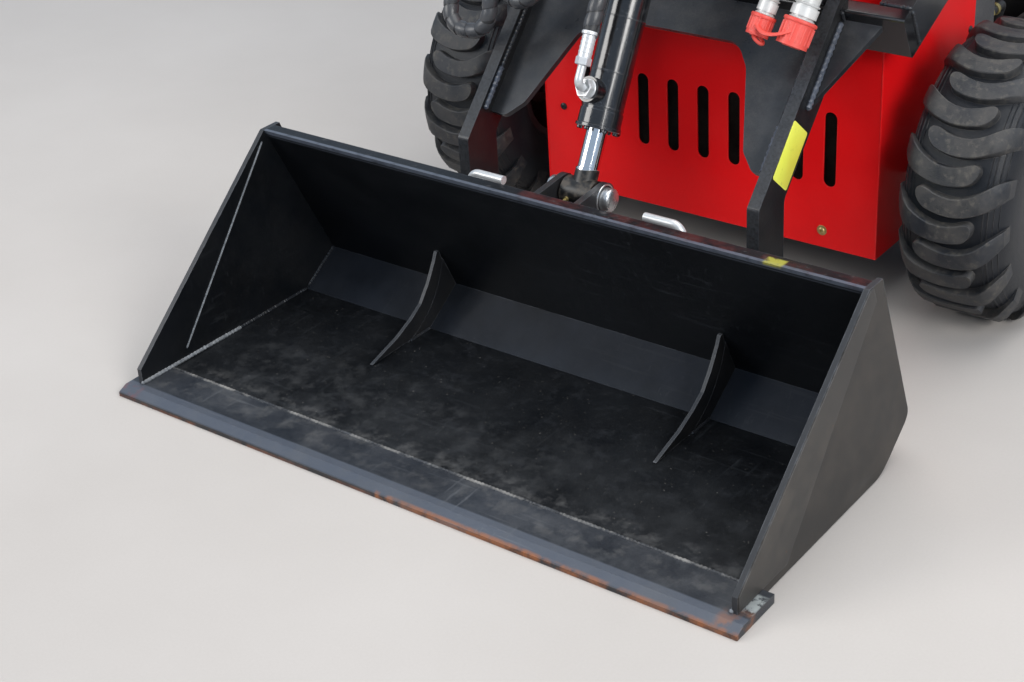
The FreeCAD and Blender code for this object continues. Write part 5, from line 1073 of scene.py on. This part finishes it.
def make_hose_guards():
    """Spiral guards of the two tilt hoses, on the cylinder and then on the arm."""
    tilt, arm = Shape(), Shape()
    for z, turn, reach in TILT_PORTS:
        way = port_way(turn) * reach
        wrap_hose(tilt, [on_ram(way.x, way.y, z - FERRULE_END - k / 40 * (z - 0.053)) for k in range(41)])
    tilt.made("tilt_hose_guards", wrap_plastic, "tilt_barrel", "hose_rubber")
    first, second = (port_way(turn) * reach for _, turn, reach in TILT_PORTS)
    top = on_ram(first.x, first.y, -0.126)
    knee = on_ram(second.x, second.y, -0.094)
    start = -0.0485
    runs = [[on_ram(first.x, first.y, start), (top, 0.06),
             (Vector((-0.25, 0.704 - HALF_LENGTH, top.z - 0.006)), 0.06), at(-0.272, 0.616, 0.436),
             at(-0.352, 0.616, 0.432), at(-0.361, 0.69, 0.6), at(-0.361, 0.775, 0.64),
             on_boom(0.11, 0.0113, -0.361)],
            [on_ram(second.x, second.y, start), (knee, 0.044), (Vector((-0.15, knee.y, knee.z)), 0.044),
             (at(-0.142, 0.64, 0.556), 0.05), at(-0.247, 0.616, 0.445), at(-0.256, 0.66, 0.6),
             at(-0.333, 0.775, 0.63), on_boom(0.11, 0.0113, -0.333)]]
    # The first two points are left free, so that a guard clears the hose's end on the cylinder
    for corners in runs:
        wrap_hose(arm, route(corners, 0.036)[2:])
    arm.made("arm_hose_guards", wrap_plastic, "lift_arm", "hose_rubber")


# Couplers: foot of each cap, its radius and its height
CAPS = ((at(0.193, 0.65, 0.5), 0.017, 0.028), (at(0.249, 0.65, 0.494), 0.023, 0.036))
CAP_RIBS = 18
STRAP_STEPS = 16


def make_coupler_trim():
    """Ribs and strap of the red caps, and the couplers' rings."""
    way = Vector((0.15, 0.47, 0.87)).normalized()
    caps, rings = Shape(), Shape()
    side, other = square_to(way)
    for low, radius, tall in CAPS:
        hoop(caps, low + way * tall, way, radius, 0.0022, 44, 8, 0.003)
        hoop(caps, low + way * 0.002, way, radius * 0.93, 0.0016, 44, 8)
        hoop(caps, low - way * 0.0002, way, radius * 0.55, 0.0013, 36, 6)
        for a in turns(CAP_RIBS):
            foot = low + (side * math.cos(a) + other * math.sin(a)) * radius * 0.995
            sweep(caps, [foot + way * (0.006 + tall * 0.7 * j) for j in (0, 1)], 0.0013, 6)
        for t in (tall + 0.004, tall + 0.026, tall + 0.05):
            hoop(rings, low + way * t, way, radius * 0.76, 0.0016, 36, 8)
        nut = [(0.097, radius * 0.6), (0.0985, radius * 0.86), (0.113, radius * 0.86),
               (0.1145, radius * 0.6)]
        lathe(rings, nut, low, way, 6)
    near, far = CAPS[0][0] + way * 0.024, CAPS[1][0] + way * 0.03
    lift = -Y * 0.03
    arc = [near + lift * 0.55, near.lerp(far, 0.3) + lift * 0.95 - way * 0.012,
           near.lerp(far, 0.62) + lift * 1.05 - way * 0.01, far + lift * 0.78]
    path = []
    for k in range(STRAP_STEPS + 1):
        t = k / STRAP_STEPS
        path.append(arc[0] * (1 - t) ** 3 + arc[1] * (3 * t * (1 - t) ** 2)
                    + arc[2] * (3 * t * t * (1 - t)) + arc[3] * t ** 3)
    sweep(caps, path, 0.0042, 10, 0.55)
    hoop(caps, CAPS[0][0] - way * 0.004 + side * 0.006, way + side * 0.6, 0.009, 0.0028, 28, 8)
    caps.made("cap_strap_and_ribs", cap_red, "lift_arm", "cap_plastic")
    rings.made("coupler_rings", coupler_white, "lift_arm", "coupler_body")


# Chassis front
COVER_FRONT = 0.8155
COVER_HALF = 0.3125
COVER_LOW = 0.1
COVER_TALL = 0.604


def make_cover_trim():
    """Screws of the front cover and the rolled edges where its sheet is folded."""
    dark, brass = Shape(), Shape()
    button(dark, at(-0.2762, 0.815, 0.2411), -Y, 0.0062, 0.0036)
    lathe(brass, [(0, 0.0085), (0.0012, 0.0085), (0.0016, 0.0078)], at(0.2192, 0.815, 0.1284), -Y, 24)
    button(brass, at(0.2192, 0.8138, 0.1284), -Y, 0.0058, 0.0036)
    for side in SIDES:
        for z in (0.15, 0.38, 0.62):
            button(dark, at(side * 0.313, 1.118, z), X * side, 0.006, 0.0034)
    dark.made("cover_screws", satin_black, "chassis", "black_paint")
    brass.made("cover_brass_screw", yellow_zinc, "chassis", "zinc")
    folds = Shape()
    for side in SIDES:
        for x, station, radius in ((COVER_HALF, COVER_FRONT, 0.0014), (0.3115, 1.1335, 0.0016)):
            upright = [at(side * x, station, COVER_LOW + COVER_TALL * k / 20) for k in range(21)]
            sweep(folds, upright, radius, 8)
    top_z = COVER_LOW + COVER_TALL + 0.0005
    top = [at(-COVER_HALF + 2 * COVER_HALF * k / 30, COVER_FRONT, top_z) for k in range(31)]
    sweep(folds, top, 0.0014, 8)
    folds.made("cover_folds", gloss_red, "chassis", "red_paint")


LAMP_X = 0.215
BEZEL = ((1.0, 0.0), (1.0, 0.0035), (0.97, 0.0045), (0.9, 0.0045), (0.87, 0.0025), (0.87, 0.0))


def make_lamp_trim():
    """Bezels, lenses and cooling fins of the two work lamps."""
    bezels, glass = Shape(), Shape()
    for side in SIDES:
        middle = at(side * LAMP_X, 0.827, 0.75)
        slab(glass, rounded(0.084, 0.046, 0.006), middle, X, Z, 0.0028, 0.96)
        ring = rounded(0.096, 0.058, 0.009)
        rings = [[middle + X * (a * inset) + Z * (b * inset) - Y * depth for a, b in ring]
                 for inset, depth in BEZEL]
        bezels.rings(rings, caps=False)
        lens = [(0.0024, 0.009), (0.0036, 0.0086), (0.0046, 0.006), (0.005, 0.0)]
        for column in (-1, 0, 1):
            for row in (-1, 1):
                spot = middle + X * (column * 0.026) + Z * (row * 0.0105)
                lathe(glass, lens, spot, -Y, 20)
        fin = [(-0.0018, -0.028), (0.0018, -0.028), (0.0018, 0.028), (-0.0018, 0.028)]
        for k in range(7):
            slab(bezels, fin, middle + X * (-0.042 + 0.014 * k) + Y * 0.046, -X, Z, 0.005)
        for end in SIDES:
            bolt(bezels, middle + X * (end * 0.05) + Y * 0.023, X * end, 0.006, 0.006)
    bezels.made("lamp_bezels", black_plastic, "chassis", "lamp_case")
    glass.made("lamp_lenses", lamp_glass, "chassis", "lamp_case")


# Engine bay
# Stations and heights of the air filter and the muffler, and the stations of the tank strap's two faces
FILTER_Y, FILTER_Z, FILTER_RADIUS = 1.38, 0.62, 0.061
MUFFLER_Y, MUFFLER_Z = 1.54, 0.608
STRAP_FRONT, STRAP_REAR, STRAP_TOP = 1.5985, 1.6935, 0.6415


def make_heads(black, metal, steel):
    """Valve covers, spark leads, inlets and exhausts of the two cylinders."""
    for side in SIDES:
        way = X * side
        slab(metal, rounded(0.118, 0.13, 0.016), at(side * 0.246, 1.415, 0.42), Y * side, Z, 0.016, 0.94)
        for dy in (-0.045, 0.045):
            for dz in (-0.05, 0.05):
                bolt(metal, at(side * 0.262, 1.415 + dy, 0.42 + dz), way, 0.0055, 0.006)
        boot = [(0, 0.011), (0.018, 0.011), (0.02, 0.008), (0.036, 0.007), (0.038, 0.005)]
        lathe(black, boot, at(side * 0.2, 1.325, 0.45), -Y + way * 0.4, 16)
        lead = [at(side * 0.2 + side * 0.014, 1.29, 0.45), at(side * 0.225, 1.265, 0.47),
                at(side * 0.2, 1.24, 0.53), at(side * 0.12, 1.235, 0.553), at(side * 0.06, 1.24, 0.561)]
        sweep(black, route(lead, 0.012, 0.008), 0.0038, 8)
        inlet = [at(side * 0.075, 1.43, 0.6), at(side * 0.18, 1.43, 0.6), at(side * 0.18, 1.43, 0.51)]
        sweep(metal, route(inlet, 0.035, 0.01), 0.019, 20)
        exhaust = [at(side * 0.2, 1.51, 0.44), at(side * 0.2, 1.545, 0.44), at(side * 0.2, 1.545, 0.565)]
        sweep(steel, route(exhaust, 0.022, 0.008), 0.014, 18)


def make_filter_trim(black, metal):
    """Bands, end covers and clips of the air filter."""
    for x in (-0.075, -0.03, 0.03, 0.075):
        hoop(metal, at(x, FILTER_Y, FILTER_Z), X, 0.0605, 0.0012, 56, 6, 0.004)
    cover = [(0, 0.052), (0.003, 0.05), (0.005, 0.03), (0.009, 0.026), (0.01, 0.0)]
    for end in SIDES:
        lathe(black, cover, at(end * 0.095, FILTER_Y, FILTER_Z), X * end, 40)
        for a in turns(4, 0.4):
            along, up = math.cos(a), math.sin(a)
            spot = at(end * 0.086, FILTER_Y + FILTER_RADIUS * along, FILTER_Z + FILTER_RADIUS * up)
            slab(metal, rounded(0.02, 0.009, 0.002, 2), spot, X, Vector((0, -up, along)), 0.003)


def make_muffler_trim(steel):
    """Bands, heat shield and tail pipe of the muffler."""
    for x in (-0.16, 0.0, 0.16):
        hoop(steel, at(x, MUFFLER_Y, MUFFLER_Z), X, 0.0488, 0.0012, 56, 6, 0.008)
    shield = []
    for x in (-0.15, 0.15):
        shield.append([at(x, MUFFLER_Y + r * math.cos(a), MUFFLER_Z + r * math.sin(a))
                       for r, span in ((0.056, range(13)), (0.0545, range(12, -1, -1)))
                       for a in (math.pi * (0.12 + 0.76 * k / 12) for k in span)])
    steel.rings(shield)
    pipe = [at(0.21, MUFFLER_Y, MUFFLER_Z), at(0.25, MUFFLER_Y, MUFFLER_Z), at(0.25, 1.6, 0.59),
            at(0.25, 1.66, 0.56)]
    sweep(steel, route(pipe, 0.026, 0.006), 0.015, 20)
    hoop(steel, pipe[-1], Vector((0, 0.9, -0.42)), 0.0152, 0.0018, 28, 6)


def make_engine_trim():
    """Fan guard, heads, filter, muffler, oil filter, and the cap and straps of the tank."""
    black, metal, steel = Shape(), Shape(), Shape()
    centre = at(0, 1.185, 0.435)
    guard = centre - Y * 0.003
    for radius in (0.028, 0.046, 0.064, 0.082, 0.1, 0.117):
        hoop(black, guard, Y, radius, 0.0024, 48, 6)
    for a in turns(8):
        out = X * math.cos(a) + Z * math.sin(a)
        sweep(black, [guard + out * 0.02, guard + out * 0.12], 0.003, 8)
    lathe(black, [(0, 0.022), (0.007, 0.022), (0.01, 0.017), (0.011, 0.0)], centre, -Y, 28)
    make_heads(black, metal, steel)
    oil_filter = [(0, 0.034), (0.004, 0.039), (0.07, 0.039), (0.076, 0.034), (0.078, 0.02)]
    lathe(black, oil_filter, at(0.15, 1.29, 0.215), X, 32)
    make_filter_trim(black, metal)
    make_muffler_trim(steel)
    tank_cap = [(0, 0.03), (0.006, 0.03), (0.008, 0.034), (0.026, 0.034), (0.03, 0.03), (0.031, 0.0)]
    lathe(black, tank_cap, at(0.12, 1.646, 0.64), Z, 12)
    for x in (-0.14, 0.14):
        strap = [at(x, STRAP_FRONT, 0.3), at(x, STRAP_FRONT, STRAP_TOP), at(x, STRAP_REAR, STRAP_TOP),
                 at(x, STRAP_REAR, 0.3)]
        sweep(black, route(strap, 0.004, 0.02), 0.009, 8, 0.18)
    black.made("engine_black_parts", black_plastic, "chassis", "black_plastic")
    metal.made("engine_alloy_parts", alloy, "chassis", "cast_parts")
    steel.made("exhaust_parts", exhaust_steel, "chassis", "exhaust_steel")


VALVE_X = 0.285


def make_valve_trim():
    """Service lines and fittings at the valve block."""
    hoses, brass, red, green = Shape(), Shape(), Shape(), Shape()
    for k in range(4):
        z = 0.36 + 0.04 * k
        end = at(VALVE_X, 1.248, z)
        lathe(brass, [(-0.018, 0.0135), (-0.006, 0.0135), (-0.005, 0.01), (0.012, 0.01)], end, Y, 6, 0.2)
        low = 1.31 + 0.012 * k
        path = [end + Y * 0.005, at(VALVE_X, low, z), at(0.262 - 0.012 * k, low + 0.01, z - 0.06),
                at(0.25 - 0.016 * k, low + 0.02, 0.125)]
        sweep(red if k == 2 else hoses, route(path, 0.014, 0.008), 0.0085, 12)
        hoop(green if k == 1 else brass, end + Y * 0.03, Y, 0.009, 0.0022, 24, 6, 0.005)
    for side in SIDES:
        path = [at(side * 0.03, 1.157, 0.3), at(side * 0.03, 1.157, 0.345), at(side * 0.1, 1.15, 0.365),
                at(0.18 + side * 0.02, 1.15, 0.4 + side * 0.03), at(0.262, 1.18, 0.4 + side * 0.045)]
        sweep(hoses, route(path, 0.016, 0.008), 0.009, 12)
        lathe(brass, [(-0.004, 0.0135), (0.01, 0.0135), (0.011, 0.0105), (0.028, 0.0105)], path[0], Z, 6)
    red_line = [at(0.296, 1.2, 0.512), at(0.296, 1.2, 0.54), at(0.29, 1.3, 0.56), at(0.2, 1.34, 0.58)]
    green_line = [at(0.274, 1.19, 0.512), at(0.274, 1.19, 0.53), at(0.27, 1.29, 0.545),
                  at(0.17, 1.33, 0.565)]
    sweep(red, route(red_line, 0.02, 0.008), 0.0045, 10)
    sweep(green, route(green_line, 0.016, 0.008), 0.003, 10)
    for k in range(3):
        bolt(brass, at(VALVE_X, 1.155 + 0.028 * k, 0.51), Z, 0.007, 0.01)
    hoses.made("service_hoses", hose_rubber, "chassis", "hose_rubber")
    brass.made("brass_fittings", yellow_zinc, "chassis", "zinc")
    red.made("red_service_lines", line_red, "chassis", "hose_rubber")
    green.made("green_service_lines", line_green, "chassis", "hose_rubber")


# Hood
LOUVRES = 7
LOUVRE_SHAPE = ((-0.009, 0.0), (-0.005, 0.55), (0.001, 0.95), (0.0055, 1.0), (0.006, 0.0))
SEAL_X, SEAL_FRONT, SEAL_REAR, SEAL_Z = 0.284, 1.1015, 1.692, 0.7065


def make_hood_trim():
    """Louvres, latches and rubber seal of the hood."""
    red, black = Shape(), Shape()
    for side in SIDES:
        for k in range(LOUVRES):
            middle = at(side * 0.14, 1.24 + 0.03 * k, 0.775)
            rings = []
            for u in (-1, -0.86, -0.6, 0, 0.6, 0.86, 1):
                tall = 0.0062 * math.sqrt(max(0.0, 1 - abs(u) ** 5)) + 0.0002
                rings.append([middle + X * (u * 0.07) + Y * y + Z * (tall * h) for y, h in LOUVRE_SHAPE])
            red.rings(rings)
            slab(black, rounded(0.124, 0.0035, 0.001, 2), middle + Y * 0.0072, X, Y, 0.0006)
        latch = at(side * 0.285, 1.2, 0.74)
        face = latch + X * (side * 0.008)
        slab(black, rounded(0.026, 0.044, 0.006), latch, Y * side, Z, 0.006)
        sweep(black, [face + Z * (0.018 - 0.04 * k / 8) for k in range(9)], 0.0055, 12)
        hoop(black, face - Z * 0.026, X, 0.009, 0.003, 24, 8)
    red.made("hood_louvres", gloss_red, "hood", "red_paint")
    black.made("hood_latches", black_plastic, "hood", "black_plastic")
    seal = Shape()
    rim = [at(SEAL_X, SEAL_REAR, SEAL_Z), at(SEAL_X, SEAL_FRONT, SEAL_Z), at(-SEAL_X, SEAL_FRONT, SEAL_Z),
           at(-SEAL_X, SEAL_REAR, SEAL_Z)]
    sweep(seal, route(rim, 0.003, 0.02), 0.0022, 8)
    seal.made("hood_seal", foam_grip, "hood", "black_plastic")


# Operator's station
DASH_RUN = Vector((0, 0.8091, -0.5877))
DASH_UP = Vector((0, 0.5877, 0.8091))


def on_dash(x, run, lift=0.0):
    """Point on the console's sloping top."""
    return at(x, 1.746, 1.06) + DASH_RUN * run + DASH_UP * lift


# Dials and switches sit this far from the middle, levers that far
DIAL_X = 0.155
LEVER_X = 0.06
CONSOLE_SIDE = 0.235
CONSOLE_REAR = 1.925
GRIP_RADIUS = 0.0178
GRIP_RING = 0.0012


def make_dial(side, rims, faces, marks):
    """Round gauge with its bezel, marks and hand."""
    dial = on_dash(side * DIAL_X, 0.08, 0.003)
    bezel = [(0, 0.031), (0.006, 0.031), (0.009, 0.0285), (0.009, 0.0262), (0.004, 0.0255)]
    lathe(rims, bezel, dial, DASH_UP, 48)
    lathe(faces, [(0.003, 0.0262), (0.0045, 0.0262), (0.0048, 0.0)], dial, DASH_UP, 40)
    mark = [(-0.0022, -0.0005), (0.0022, -0.0005), (0.0022, 0.0005), (-0.0022, 0.0005)]
    for k in range(11):
        a = math.radians(-40 + 26 * k)
        out = X * math.cos(a) - DASH_RUN * math.sin(a)
        slab(marks, mark, dial + out * 0.0215 + DASH_UP * 0.0047, out, DASH_UP.cross(out), 0.0004)
    a = math.radians(70 + 30 * side)
    hand = X * math.cos(a) - DASH_RUN * math.sin(a)
    sweep(marks, [dial + DASH_UP * 0.006, dial + DASH_UP * 0.006 + hand * 0.019], 0.0008, 6)


def make_lever_boot(side, boots):
    """Folded boot at a lever's foot and rings on its knob."""
    spot = at(side * LEVER_X, 1.835, 0.0)
    foot = Vector((spot.x, spot.y, 1.06 - 0.089 * 0.7264 - 0.002))
    boot = [(0, 0.03), (0.004, 0.03)]
    for k in range(5):
        boot += [(0.006 + 0.009 * k, 0.025 - 0.0035 * k), (0.0105 + 0.009 * k, 0.02 - 0.0028 * k)]
    lathe(boots, boot + [(0.055, 0.0075)], foot, Z, 32)
    for z in (1.088, 1.094, 1.1):
        hoop(boots, Vector((spot.x, spot.y, z)), Z, 0.0125, 0.0012, 28, 6)


def make_grips():
    """Foam grips on the grab bar, with their rings, and the collars at the bar's feet."""
    grips = Shape()
    for side in SIDES:
        path = [at(side * (0.03 + 0.15 * k / 24), 1.895, 1.225) for k in range(25)]
        sweep(grips, path, [GRIP_RADIUS + GRIP_RING * (k % 2) for k in range(25)], 24)
        post = [at(side * 0.25, 1.895, 0.93 + 0.2 * k / 30) for k in range(31)]
        sweep(grips, post, [GRIP_RADIUS + GRIP_RING * (k % 2) for k in range(31)], 24)
        collar = [(0, 0.026), (0.004, 0.026), (0.006, 0.02), (0.012, 0.018)]
        lathe(grips, collar, at(side * 0.25, 1.895, 0.842), Z, 32)
    grips.made("bar_grips", foam_grip, "chassis", "black_plastic")


def make_console_trim():
    """Dash plates with dials, switches and lever boots, and the console's side and rear plates."""
    plates, rims, faces, marks, boots = Shape(), Shape(), Shape(), Shape(), Shape()
    for side in SIDES:
        slab(plates, rounded(0.115, 0.15, 0.012), on_dash(side * DIAL_X, 0.11), X, -DASH_RUN, 0.003)
        for run in (0.042, 0.178):
            for dx in (-0.048, 0.048):
                button(rims, on_dash(side * DIAL_X + dx, run, 0.003), DASH_UP, 0.004, 0.0025)
        make_dial(side, rims, faces, marks)
        tipped = (-DASH_RUN + DASH_UP * 0.18).normalized()
        for k in (-1, 0, 1):
            spot = on_dash(side * DIAL_X + k * 0.032, 0.145, 0.003)
            slab(boots, rounded(0.02, 0.032, 0.003), spot, X, -DASH_RUN, 0.003)
            slab(boots, rounded(0.014, 0.025, 0.002), spot + DASH_UP * 0.003, X, tipped, 0.004)
        make_lever_boot(side, boots)
    lathe(rims, [(0, 0.013), (0.004, 0.013), (0.006, 0.011), (0.006, 0.0)], on_dash(0, 0.06), DASH_UP, 32)
    key_way = (X + DASH_RUN * 0.5).normalized()
    slab(boots, rounded(0.026, 0.005, 0.002, 3), on_dash(0, 0.06, 0.006), key_way, DASH_UP, 0.003)
    for side in SIDES:
        for k in range(8):
            spot = at(side * CONSOLE_SIDE, 1.82, 0.42 + 0.022 * k)
            slab(plates, rounded(0.13, 0.008, 0.003, 3), spot, Y * side, Z, 0.0012)
        for station in (1.728, 1.9):
            for z in (0.36, 0.62, 0.86):
                button(rims, at(side * CONSOLE_SIDE, station, z), X * side, 0.006, 0.0035)
        slab(plates, rounded(0.19, 0.2, 0.012), at(side * 0.11, CONSOLE_REAR, 0.46), -X, Z, 0.0022)
        for dx in (-0.085, 0.085):
            for dz in (-0.09, 0.09):
                button(rims, at(side * 0.11 + dx, CONSOLE_REAR + 0.0022, 0.46 + dz), Y, 0.0045, 0.003)
    plates.made("console_plates", satin_black, "chassis", "black_paint")
    rims.made("console_rims_and_screws", zinc, "chassis", "zinc")
    faces.made("gauge_faces", gauge_face, "chassis", "black_plastic")
    marks.made("gauge_marks", coupler_white, "chassis", "coupler_body")
    boots.made("switches_and_boots", black_plastic, "chassis", "black_plastic")
    make_grips()


# Knee pad; u and v run from -1 to 1 across and up it
PAD_FACE = 1.9252
PAD_MIDDLE = 0.77
PAD_HALF_X, PAD_HALF_Z = 0.17, 0.13
PAD_COLUMNS, PAD_ROWS = 56, 44
CHANNELS = (-0.34, 0.34)
STITCHES = 46


def pad_outline(u, v):
    """Place on the console's face, pulled in between the pad's corners."""
    corner = 1 - 0.075 * (abs(u) * abs(v)) ** 6
    return (PAD_HALF_X * u * (1 - 0.03 * (1 - v * v)) * corner,
            PAD_HALF_Z * v * (1 - 0.035 * (1 - u * u)) * corner)


def pad_height(u, v):
    """How far the pad stands out: a crown with its sewn channels and their puckers."""
    rim = max(0.0, 1 - abs(u) ** 6) ** 0.45 * max(0.0, 1 - abs(v) ** 5) ** 0.45
    groove = sum(math.exp(-((v - c) / 0.055) ** 2) for c in CHANNELS)
    pucker = 0.0005 * math.sin(u * 44) * groove
    return 0.004 + 0.0178 * rim * (1 - 0.42 * groove) * (0.9 + 0.1 * math.cos(v * 8.5)) + pucker * rim


def make_knee_pad():
    """Stitched pad with its piping and the stitches of its channels."""
    shape = Shape()
    front = []
    for j in range(PAD_ROWS + 1):
        v = math.sin(math.pi * (j / PAD_ROWS - 0.5))
        line = []
        for i in range(PAD_COLUMNS + 1):
            u = math.sin(math.pi * (i / PAD_COLUMNS - 0.5))
            x, z = pad_outline(u, v)
            line.append(at(x, PAD_FACE + pad_height(u, v), PAD_MIDDLE + z))
        front.append(line)
    shape.rings(front, closed=False, caps=False)
    base = len(shape.verts)
    back_y = at(0, PAD_FACE, 0).y
    shape.rings([[Vector((p.x, back_y, p.z)) for p in line] for line in front], closed=False, caps=False)
    wide = PAD_COLUMNS + 1
    rim = ([j * wide for j in range(PAD_ROWS)] + [PAD_ROWS * wide + i for i in range(PAD_COLUMNS)]
           + [(PAD_ROWS - j) * wide + PAD_COLUMNS for j in range(PAD_ROWS)]
           + [PAD_COLUMNS - i for i in range(PAD_COLUMNS)])
    for a, b in zip(rim, rim[1:] + rim[:1]):
        shape.faces.append((a, b, base + b, base + a))
    pad = shape.made("stitched_knee_pad", pad_vinyl, "chassis", "pad_cloth")
    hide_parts("knee_pad")
    piping, stitches = Shape(), Shape()
    edge = [front[k // wide][k % wide] - Y * 0.0015 for k in rim]
    sweep(piping, edge + [edge[0]], 0.0021, 8)
    for v in CHANNELS:
        for k in range(STITCHES):
            u = -0.93 + 1.86 * k / (STITCHES - 1)
            x, z = pad_outline(u, v)
            x2, _ = pad_outline(u + 0.022, v)
            y = PAD_FACE + pad_height(u, v) + 0.0004
            sweep(stitches, [at(x, y, PAD_MIDDLE + z), at(x2, y, PAD_MIDDLE + z)], 0.0005, 6)
    piping.made("pad_piping", pad_vinyl, "chassis", "pad_cloth")
    stitches.made("pad_stitches", foam_grip, "chassis", "pad_cloth")


TREAD_COLUMNS, TREAD_ROWS = 14, 9
BUMP_LENGTH, BUMP_WIDTH = 0.0105, 0.0034


def make_footplate_trim():
    """Tread of small oval bumps that lie across each other."""
    bumps = Shape()
    for i in range(TREAD_COLUMNS):
        for j in range(TREAD_ROWS):
            spot = at(-0.195 + 0.03 * i, 2.035 + 0.0225 * j, 0.184)
            a = math.radians(45 if (i + j) % 2 else -45)
            along, across = X * math.cos(a) + Y * math.sin(a), -X * math.sin(a) + Y * math.cos(a)
            rings = []
            for lift, size in ((0.0, 1.0), (0.001, 0.86), (0.0018, 0.45)):
                rings.append([spot + along * (BUMP_LENGTH * size * math.cos(t))
                              + across * (BUMP_WIDTH * size * math.sin(t)) + Z * lift for t in turns(12)])
            bumps.rings(rings)
    bumps.made("footplate_tread", satin_black, "footplate", "black_paint")


TOWER_X = 0.384
BARREL_PIN_X = 0.3625


def make_pivot_trim():
    """Caps and bolts at the arm's pivots, the lift cylinders' base pins and the towers' feet."""
    bolts, caps = Shape(), Shape()
    pivot = at(0, 1.7555, 0.96137)
    for side in SIDES:
        way = X * side
        lathe(caps, [(0, 0.031), (0.003, 0.031), (0.005, 0.028)], pivot + way * (TOWER_X + 0.0002), way, 36)
        bolt(bolts, pivot + way * (TOWER_X + 0.0075), way, 0.009, 0.006)
        for a in turns(3, 0.5):
            out = (Y * math.cos(a) + Z * math.sin(a)) * 0.0255
            bolt(bolts, pivot + way * (TOWER_X + 0.0033) + out, way, 0.0036, 0.0035)
        hoop(bolts, LIFT_BASE + way * BARREL_PIN_X, X, 0.0132, 0.0014, 36, 8)
        bolt(bolts, LIFT_BASE + way * (BARREL_PIN_X + 0.0045), way, 0.006, 0.005)
        for station in (1.73, 1.86):
            for z in (0.2, 0.29):
                bolt(bolts, at(side * 0.316, station, z), way, 0.007, 0.006)
    bolts.made("tower_bolts", zinc, "chassis", "zinc")
    caps.made("pivot_caps", satin_black, "chassis", "black_paint")


make_bucket_trim()
make_arm_trim()
make_sticker()
make_ram_trim()
make_hose_guards()
make_coupler_trim()
make_cover_trim()
make_lamp_trim()
make_engine_trim()
make_valve_trim()
make_hood_trim()
make_console_trim()
make_knee_pad()
make_footplate_trim()
make_pivot_trim()


# Floor, light and camera
FLOOR_SIZE = 30


def make_floor():
    """Pale matt floor under the machine."""
    mesh = bpy.data.meshes.new("floor")
    corners = [(x * FLOOR_SIZE, y * FLOOR_SIZE, 0) for x, y in ((-1, -1), (1, -1), (1, 1), (-1, 1))]
    mesh.from_pydata(corners, [], [(0, 1, 2, 3)])
    floor = bpy.data.objects.new("floor", mesh)
    bpy.context.scene.collection.objects.link(floor)
    pale = bpy.data.materials.new("pale_floor")
    pale.use_nodes = True
    shader = pale.node_tree.nodes["Principled BSDF"]
    shader.inputs["Roughness"].default_value = 0.9
    shades = {"Dark": (0.47, 0.435, 0.405, 1), "Light": (0.53, 0.495, 0.465, 1), "Scale": 1.5}
    mottle = effect(pale.node_tree, MOTTLE, shades)
    pale.node_tree.links.new(mottle.outputs["Color"], shader.inputs["Base Color"])
    mesh.materials.append(pale)


def make_light(name, place, target, size, power, colour):
    """Soft rectangular lamp that faces its target."""
    lamp = bpy.data.lights.new(name, "AREA")
    lamp.shape = "RECTANGLE"
    lamp.size, lamp.size_y = size
    lamp.energy = power
    lamp.color = colour
    holder = bpy.data.objects.new(name, lamp)
    holder.location = place
    holder.rotation_euler = (Vector(target) - Vector(place)).to_track_quat("-Z", "Y").to_euler()
    bpy.context.scene.collection.objects.link(holder)


def make_camera():
    """Camera at the viewpoint solved from the bucket's real width."""
    turn, down, roll = math.radians(38.783), math.radians(29.2915), math.radians(-3.7924)
    ahead = Vector((-math.sin(turn) * math.cos(down), math.cos(turn) * math.cos(down), -math.sin(down)))
    right = ahead.cross(Z).normalized()
    up = right.cross(ahead)
    camera_x = right * math.cos(roll) + up * math.sin(roll)
    camera_y = -right * math.sin(roll) + up * math.cos(roll)
    data = bpy.data.cameras.new("camera")
    data.sensor_width = 36
    data.lens = 63.93
    camera = bpy.data.objects.new("camera", data)
    place = Matrix((camera_x, camera_y, -ahead)).transposed().to_4x4()
    place.translation = Vector((1.4435, -2.6281, 1.4109))
    camera.matrix_world = place
    bpy.context.scene.collection.objects.link(camera)
    bpy.context.scene.camera = camera


make_floor()
make_camera()
make_light("overhead", (0.4, 0.3, 4.2), (0, 0, 0.3), (4.5, 4.0), 145, (1.0, 0.97, 0.92))
make_light("front_left", (4.0, -2.2, 2.7), (0, -0.3, 0.3), (2.4, 1.8), 150, (1.0, 0.98, 0.95))
make_light("front_right", (-2.8, -3.4, 2.3), (0, -0.3, 0.3), (2.4, 1.8), 90, (1.0, 0.97, 0.93))
world = bpy.data.worlds.new("world")
world.use_nodes = True
world.node_tree.nodes["Background"].inputs[0].default_value = (0.62, 0.78, 1.0, 1)
world.node_tree.nodes["Background"].inputs[1].default_value = 0.55
bpy.context.scene.world = world
bpy.context.scene.view_settings.view_transform = "Standard"
